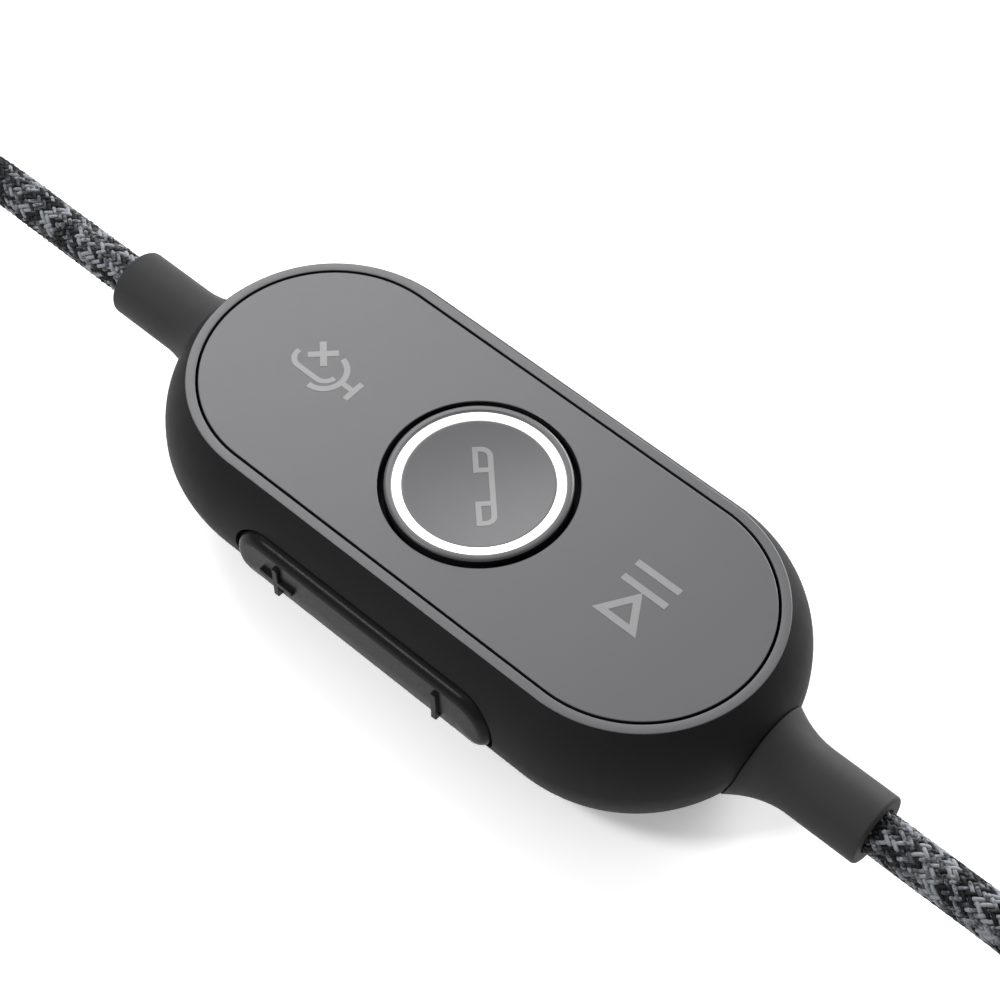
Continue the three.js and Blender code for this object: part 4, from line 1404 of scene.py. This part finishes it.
class REMOTE_OT_strain_reliefs(bpy.types.Operator):
    """Builds the two strain reliefs that flare onto the housing."""

    bl_idname = "headset_remote.strain_reliefs"
    bl_label = "Strain reliefs"

    def execute(self, context):
        for which, axis in (("left", "-X"), ("right", "+X")):
            place = turned_to(axis, z=CORD_Z)
            flare = [(RELIEF_R + RELIEF_FLARE * (RELIEF_FLARE_X - x) ** 2, x, 0)
                     for x in np.arange(RELIEF_ROOT_X, RELIEF_FLARE_X, 0.35)]
            bore, bore_end = CORD_R + 0.08, RELIEF_END_X - RELIEF_BORE_DEEP
            profile = [(0, RELIEF_ROOT_X, 0), *flare, (RELIEF_R, RELIEF_END_X, 0.28),
                       (bore, RELIEF_END_X, 0.1), (bore, bore_end, 0), (0, bore_end, 0)]
            relief = drawn_out(f"strain_sleeve_{which}", filleted(profile, steps=6), arcs=48, place=place)
            side = [(side_radius(z) + RELIEF_GAP, z) for z in np.arange(0, HEIGHT + 0.01, 0.25)]
            grown = [(0, -1), *side, (0, HEIGHT + 1)]
            combined(relief, "DIFFERENCE", [drawn_out("body", grown, END_CENTRE)])
            slim = RELIEF_R - 0.05
            neck = [(0, 27.9), (NECK_R, 27.9), (NECK_R, 28.9), (slim, 28.9), (slim, 36), (0, 36)]
            combined(relief, "UNION", [drawn_out("neck", neck, arcs=48, place=place)])
            softened(relief)
            dressed(relief, rubber())
            belongs(relief, "housing", "elastomer", f"strain_relief_{which}")
        return {"FINISHED"}


class REMOTE_OT_ties(bpy.types.Operator):
    """Builds the strap round each hank, with its loose end pressed down on the side."""

    bl_idname = "headset_remote.ties"
    bl_label = "Ties"

    def execute(self, context):
        strap = shared("strap", hook_and_loop)
        for which in CORDS:
            low, high = frame_mm(f"tie_{which}")
            middle, width = (low[0] + high[0]) / 2, high[0] - low[0]
            half, tall, thick = high[1], high[2], STRAP_THICK
            loop = [(y, z + tall / 2) for y, z in rounded_outline(2 * half - thick, tall - thick, 2.0, 8)]
            band = self.strap(f"tie_strap_{which}", self.densified(loop), middle, width, thick, looped=True)
            end = [(half + thick * 0.45, z) for z in np.linspace(3.0, tall * 0.72, 14)]
            bent = [(y - 0.25 * (k in (0, len(end) - 1)), z) for k, (y, z) in enumerate(end)]
            tail = self.strap("tail", bent, middle, width - 1.2, thick * 0.8, looped=False)
            combined(band, "UNION", [tail])
            softened(band, 40)
            dressed(band, strap)
            belongs(band, "housing", "strap", f"tie_{which}")
        return {"FINISHED"}

    def densified(self, loop):
        return subdivided([*loop, loop[0]], 1.2)[:-1]

    def strap(self, name, path, middle, width, thick, looped):
        """A strap of rounded section along a path in the YZ plane."""
        path = np.array(path)
        sections = []
        for i, here in enumerate(path):
            before = path[i - 1] if looped or i > 0 else here
            after = path[(i + 1) % len(path)] if looped or i < len(path) - 1 else here
            run = (after - before) / np.linalg.norm(after - before)
            out = np.array([run[1], -run[0]])
            ring = rounded_outline(width, thick, thick * 0.4, 3)
            sections.append([(middle + a, *(here + out * b)) for a, b in ring])
        return lofted(name, sections, looped=looped)


class REMOTE_OT_jack_plug(bpy.types.Operator):
    """Builds the four-pole 3.5 mm plug on the headset side's cord."""

    bl_idname = "headset_remote.jack_plug"
    bl_label = "Jack plug"

    def execute(self, context):
        nickel = shared("nickel", turned_metal, "brass_nickel_plated_turned", "#c9c7c2", 0.2, 0.25)
        resin = shared("resin", moulded, "acetal_moulded", "#1b1b1c", 0.35)
        self.add("jack_boot", boot_profile(PLUG_BOOT, 3.2), rubber(), "elastomer", "jack_relief")
        low, high = frame_mm("jack_grip")
        radius, length = (high[2] - low[2]) / 2, high[0] - low[0]
        grooves = [(radius - 0.3 * (k % 2), length * 0.35 + 0.5 * k + 0.25 * s, 0)
                   for k in range(1, 8) for s in (0, 1)]
        socket_end = length - SOCKET_DEEP
        grip = [(0, 0, 0), (3.4, 0, 0.3), (radius, 1.6, 0.6), *grooves, (radius, length, 0.5),
                (JACK_SOCKET_R, length, 0.05), (JACK_SOCKET_R, socket_end, 0), (0, socket_end, 0)]
        self.add("jack_handle", grip, rubber(), "elastomer", "jack_grip")
        pole, bore, lip = POLE_R, POLE_BORE_R, METAL_LIP
        for node in ("jack_sleeve", "jack_ring_1", "jack_ring_2"):
            low, high = frame_mm(node)
            length = high[0] - low[0]
            ring = [(bore, 0, 0), (pole, 0, lip), (pole, length, lip), (bore, length, 0)]
            self.add(f"{node}_turned", ring, nickel, "tin", node, closed=True)
        low, high = frame_mm("jack_tip")
        length = high[0] - low[0]
        tip = [(0, 0, 0), (pole, 0, lip), (pole, 0.2 * length, 0.1), (1.28, 0.42 * length, 0.3),
               (1.62, 0.66 * length, 0.4), (1.2, 0.86 * length, 0.4), (0.5, length, 0.1), (0, length, 0)]
        self.add("jack_tip_turned", tip, nickel, "tin", "jack_tip")
        core_r, collar_r, core_end = 1.2, 1.68, 12.15
        core = [(0, 0, 0), (core_r, 0, 0)]
        for start, end in ((6.65, 7.15), (9.05, 9.55), (11.45, core_end)):
            core += [(core_r, start, 0), (collar_r, start, 0), (collar_r, end, 0), (core_r, end, 0)]
        self.add("jack_insulator", [*core[:-1], (0, core_end, 0)], resin, "jacket", "jack_core")
        return {"FINISHED"}

    def add(self, name, corners, material, slot, node, closed=False):
        low, high = frame_mm(node)
        place = turned_to("-X", high[0], PLUG_Y, (low[2] + high[2]) / 2)
        piece = drawn_out(name, filleted(corners, closed=closed), arcs=32, closed=closed, place=place)
        softened(piece)
        dressed(piece, material)
        belongs(piece, "housing", slot, node)


def boot_profile(length, big_r):
    """A plug's ribbed boot: a slim cone with rounded grooves."""
    corners = [(0, 0, 0), (2.3, 0, 0.2)]
    pitch = length / 7
    for k in range(6):
        radius = 2.42 + (big_r - 2.5) * ((k + 1) / 7) ** 1.5
        start = pitch * (k + 0.35)
        corners += [(radius, start, 0.1), (radius - 0.28, start + 0.25 * pitch, 0.1),
                    (radius - 0.28, start + 0.45 * pitch, 0.1), (radius, start + 0.7 * pitch, 0.1)]
    return [*corners, (big_r, length - 0.3, 0), (big_r, length, 0), (0, length, 0)]


class REMOTE_OT_usb_plug(bpy.types.Operator):
    """Builds the USB-C plug on the computer side's cord."""

    bl_idname = "headset_remote.usb_plug"
    bl_label = "USB plug"

    def execute(self, context):
        low, high = frame_mm("usb_relief")
        place = turned_to("+X", low[0], PLUG_Y, (low[2] + high[2]) / 2)
        boot = drawn_out("usb_boot", filleted(boot_profile(PLUG_BOOT, 3.0)), arcs=32, place=place)
        self.finished(boot, rubber(), "elastomer", "usb_relief")
        self.add_handle()
        self.add_shell()
        self.add_contacts()
        return {"FINISHED"}

    def finished(self, piece, material, slot, *nodes):
        softened(piece)
        dressed(piece, material)
        belongs(piece, "housing", slot, *nodes)

    def ring(self, x, middle, width, height, radius):
        return [(x, middle[0] + a, middle[1] + b) for a, b in rounded_outline(width, height, radius)]

    def add_handle(self):
        low, high = frame_mm("usb_grip")
        middle = (low[1:] + high[1:]) / 2
        wide, tall = high[1:] - low[1:]
        rings = []
        for x, inset in self.edge_steps(low[0], high[0], 0.6):
            rings.append(self.ring(x, middle, wide - 2 * inset, tall - 2 * inset, 2.2 - inset * 0.6))
        for x in (high[0], high[0] - SOCKET_DEEP):
            rings.append(self.ring(x, middle, USB_WIDE + 0.6, USB_TALL + 0.6, USB_CORNER + 0.3))
        self.finished(lofted("usb_handle", rings), rubber(), "elastomer", "usb_grip")

    def edge_steps(self, start, end, rounding):
        """Steps along a piece and how far its outline is drawn in at each, for rounded ends."""
        angles = np.radians([0, 22, 45, 67, 90])
        first = [(start + rounding * (1 - math.sin(a)), rounding * (1 - math.cos(a))) for a in angles[::-1]]
        last = [(end - rounding * (1 - math.sin(a)), rounding * (1 - math.cos(a))) for a in angles]
        return first + last

    def add_shell(self):
        low, high = frame_mm("usb_shell")
        middle = (low[1:] + high[1:]) / 2
        outer, inner, lipped = [(USB_WIDE - 2 * inset, USB_TALL - 2 * inset, USB_CORNER - inset)
                                for inset in (0, SHELL_WALL, METAL_LIP)]
        steps = [(low[0], outer), (high[0] - METAL_LIP, outer), (high[0], lipped), (high[0], inner),
                 (low[0], inner)]
        shell = lofted("usb_shell_drawn", [self.ring(x, middle, *size) for x, size in steps], looped=True)
        steel = shared("drawn", turned_metal, "steel_nickel_plated_drawn", "#b9babb", 0.26, 0.25)
        self.finished(shell, steel, "steel", "usb_shell")

    def add_contacts(self):
        # Twelve gold-plated spring contacts above and twelve below, 0.5 mm apart
        low, high = frame_mm("usb_contact_block")
        middle = (low[1:] + high[1:]) / 2
        end = frame_mm("usb_shell")[1][0] - 0.7
        half_wide, thick = 0.12, 0.14
        section = ((-half_wide, 0), (half_wide, 0), (half_wide, thick), (-half_wide, thick))
        contact = lofted("contact", [[(x, y, z) for y, z in section] for x in (0.0, end - high[0])])
        tree = scattered_tree("Contacts", contact)
        places = [(high[0] - 0.02, middle[0] + CONTACT_PITCH * (k - 5.5), middle[1] + z)
                  for k in range(12) for z in (0.72, -0.86)]
        gold = shared("gold", turned_metal, "copper_alloy_gold_plated", "#d9b064", 0.25, 0.15)
        points = [tuple(c * MM for c in place) for place in places]
        contacts = node_made("usb_contacts", tree, {"Size": 1.0, "Finish": gold}, points=points)
        bpy.data.objects.remove(contact)
        belongs(contacts, "housing", "tin")


class REMOTE_OT_cords(bpy.types.Operator):
    """Lays both braided cords: straight out of the remote, then folded into tied hanks."""

    bl_idname = "headset_remote.cords"
    bl_label = "Cords"

    def execute(self, context):
        settings = context.scene.remote_cords
        radius = settings.diameter / 2 / MM
        sleeve = shared("sleeve", braided_sleeve, settings.dark, settings.light, settings.strands)
        yarn = shared("yarn", braided_yarn, settings.dark, settings.light)
        tree = braid_tree()
        for which, cord in CORDS.items():
            line = cord_line(which)
            core = radius - CORE_UNDER

            def radius_at(s, core=core, shown=cord["shown"]):
                return core + (radius - core) * ease((s - shown) / 1.5)

            piece = tube(f"braided_cord_{which}", line, radius_at, CORD_SIDES, BRAID_PITCH)
            dressed(piece, sleeve, shared("under", under_braid_shade))
            # Where the loose strands lie on it, the tube takes the under-braid: near-black painted shade in
            # the gaps between the strands.
            for face in piece.data.polygons[:int(cord["shown"] + 0.5) * CORD_SIDES]:
                face.material_index = 1
            belongs(piece, "housing", "braid", f"cord_{which}", f"hank_{which}")
            near = line[:int(cord["shown"]) + 3]
            values = {
                "Strands": settings.strands, "Points": 9 * len(near), "Sides": 6,
                "Sleeve radius": (radius - STRAND_UNDER) * MM, "Strand radius": STRAND_R * MM,
                "Lift": STRAND_LIFT * MM, "Pitch": BRAID_PITCH * MM, "Wander": STRAND_WANDER * MM,
                "Yarn": yarn,
            }
            path = path_curve(f"path_{which}", even(near, 0.5))
            braid = node_made(f"braid_{which}", tree, values, carrier=path)
            belongs(braid, "housing", "braid")
        return {"FINISHED"}


class REMOTE_OT_inner_parts(bpy.types.Operator):
    """Finishes the frame nodes inside the housing."""

    bl_idname = "headset_remote.inner_parts"
    bl_label = "Inner parts"

    def execute(self, context):
        tin = shared("tin", turned_metal, "steel_tin_plated_stamped", "#c4c5c3", 0.34, 0.3)
        steel = shared("pins", turned_metal, "steel_stainless_ground", "#b4b5b7", 0.22, 0.2)
        milky = shared("silicone", clear_silicone)
        nylon = shared("nylon", moulded, "nylon_moulded_natural", "#d9d5c6", 0.45)
        opal = shared("opal", opal_diffuser, context.scene.remote_finish.glow)
        finishes = {
            "chassis": shared("frame", moulded, "abs_moulded_black", "#1c1c1d", 0.45),
            "main_board": shared("board", solder_mask), "volume_board": shared("board", solder_mask),
            "audio_chip": shared("chip", moulded, "epoxy_transfer_moulded", "#171718", 0.5),
            "inner_lead": shared("jacket", moulded, "thermoplastic_jacket_extruded", "#1a1a1b", 0.5),
            "usb_contact_block": shared("insert", moulded, "liquid_crystal_polymer_moulded", "#151516", 0.4),
            "switch": tin, "lead_crimp": tin, "plate_pin": steel, "volume_pin": steel, "dome": milky,
            "lead_header": nylon, "ring_led": opal,
        }
        for name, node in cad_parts.items():
            if node.hide_render:
                continue
            fitting = [key for key in finishes if name.startswith(key)]
            if not fitting:
                raise RuntimeError(f"no finish for the frame node {name}")
            dressed(node, finishes[fitting[0]])
        return {"FINISHED"}


class REMOTE_PT_panel(bpy.types.Panel):
    """Lists the steps that build the remote, and its settings."""

    bl_idname = "REMOTE_PT_panel"
    bl_label = "Headset remote"
    bl_space_type = "VIEW_3D"
    bl_region_type = "UI"
    bl_category = "Headset remote"

    def draw(self, context):
        layout = self.layout
        for step in STEPS:
            layout.operator(step.bl_idname)
        for settings in (context.scene.remote_finish, context.scene.remote_cords, context.scene.remote_stage):
            box = layout.box()
            for key in settings.__annotations__:
                box.prop(settings, key)


STEPS = [
    REMOTE_OT_stage, REMOTE_OT_housing, REMOTE_OT_base_screws, REMOTE_OT_key_plate, REMOTE_OT_call_button,
    REMOTE_OT_volume_key, REMOTE_OT_strain_reliefs, REMOTE_OT_ties, REMOTE_OT_jack_plug, REMOTE_OT_usb_plug,
    REMOTE_OT_cords, REMOTE_OT_inner_parts,
]
SETTINGS = {"remote_finish": FinishSettings, "remote_cords": CordSettings, "remote_stage": StageSettings}


def register():
    for item in [*SETTINGS.values(), *STEPS, REMOTE_PT_panel]:
        bpy.utils.register_class(item)
    for name, group in SETTINGS.items():
        setattr(bpy.types.Scene, name, PointerProperty(type=group))


def unregister():
    for name in SETTINGS:
        delattr(bpy.types.Scene, name)
    for item in reversed([*SETTINGS.values(), *STEPS, REMOTE_PT_panel]):
        bpy.utils.unregister_class(item)


def main():
    register()
    for step in STEPS:
        group, name = step.bl_idname.split(".")
        getattr(getattr(bpy.ops, group), name)()


if __name__ == "__main__":
    main()
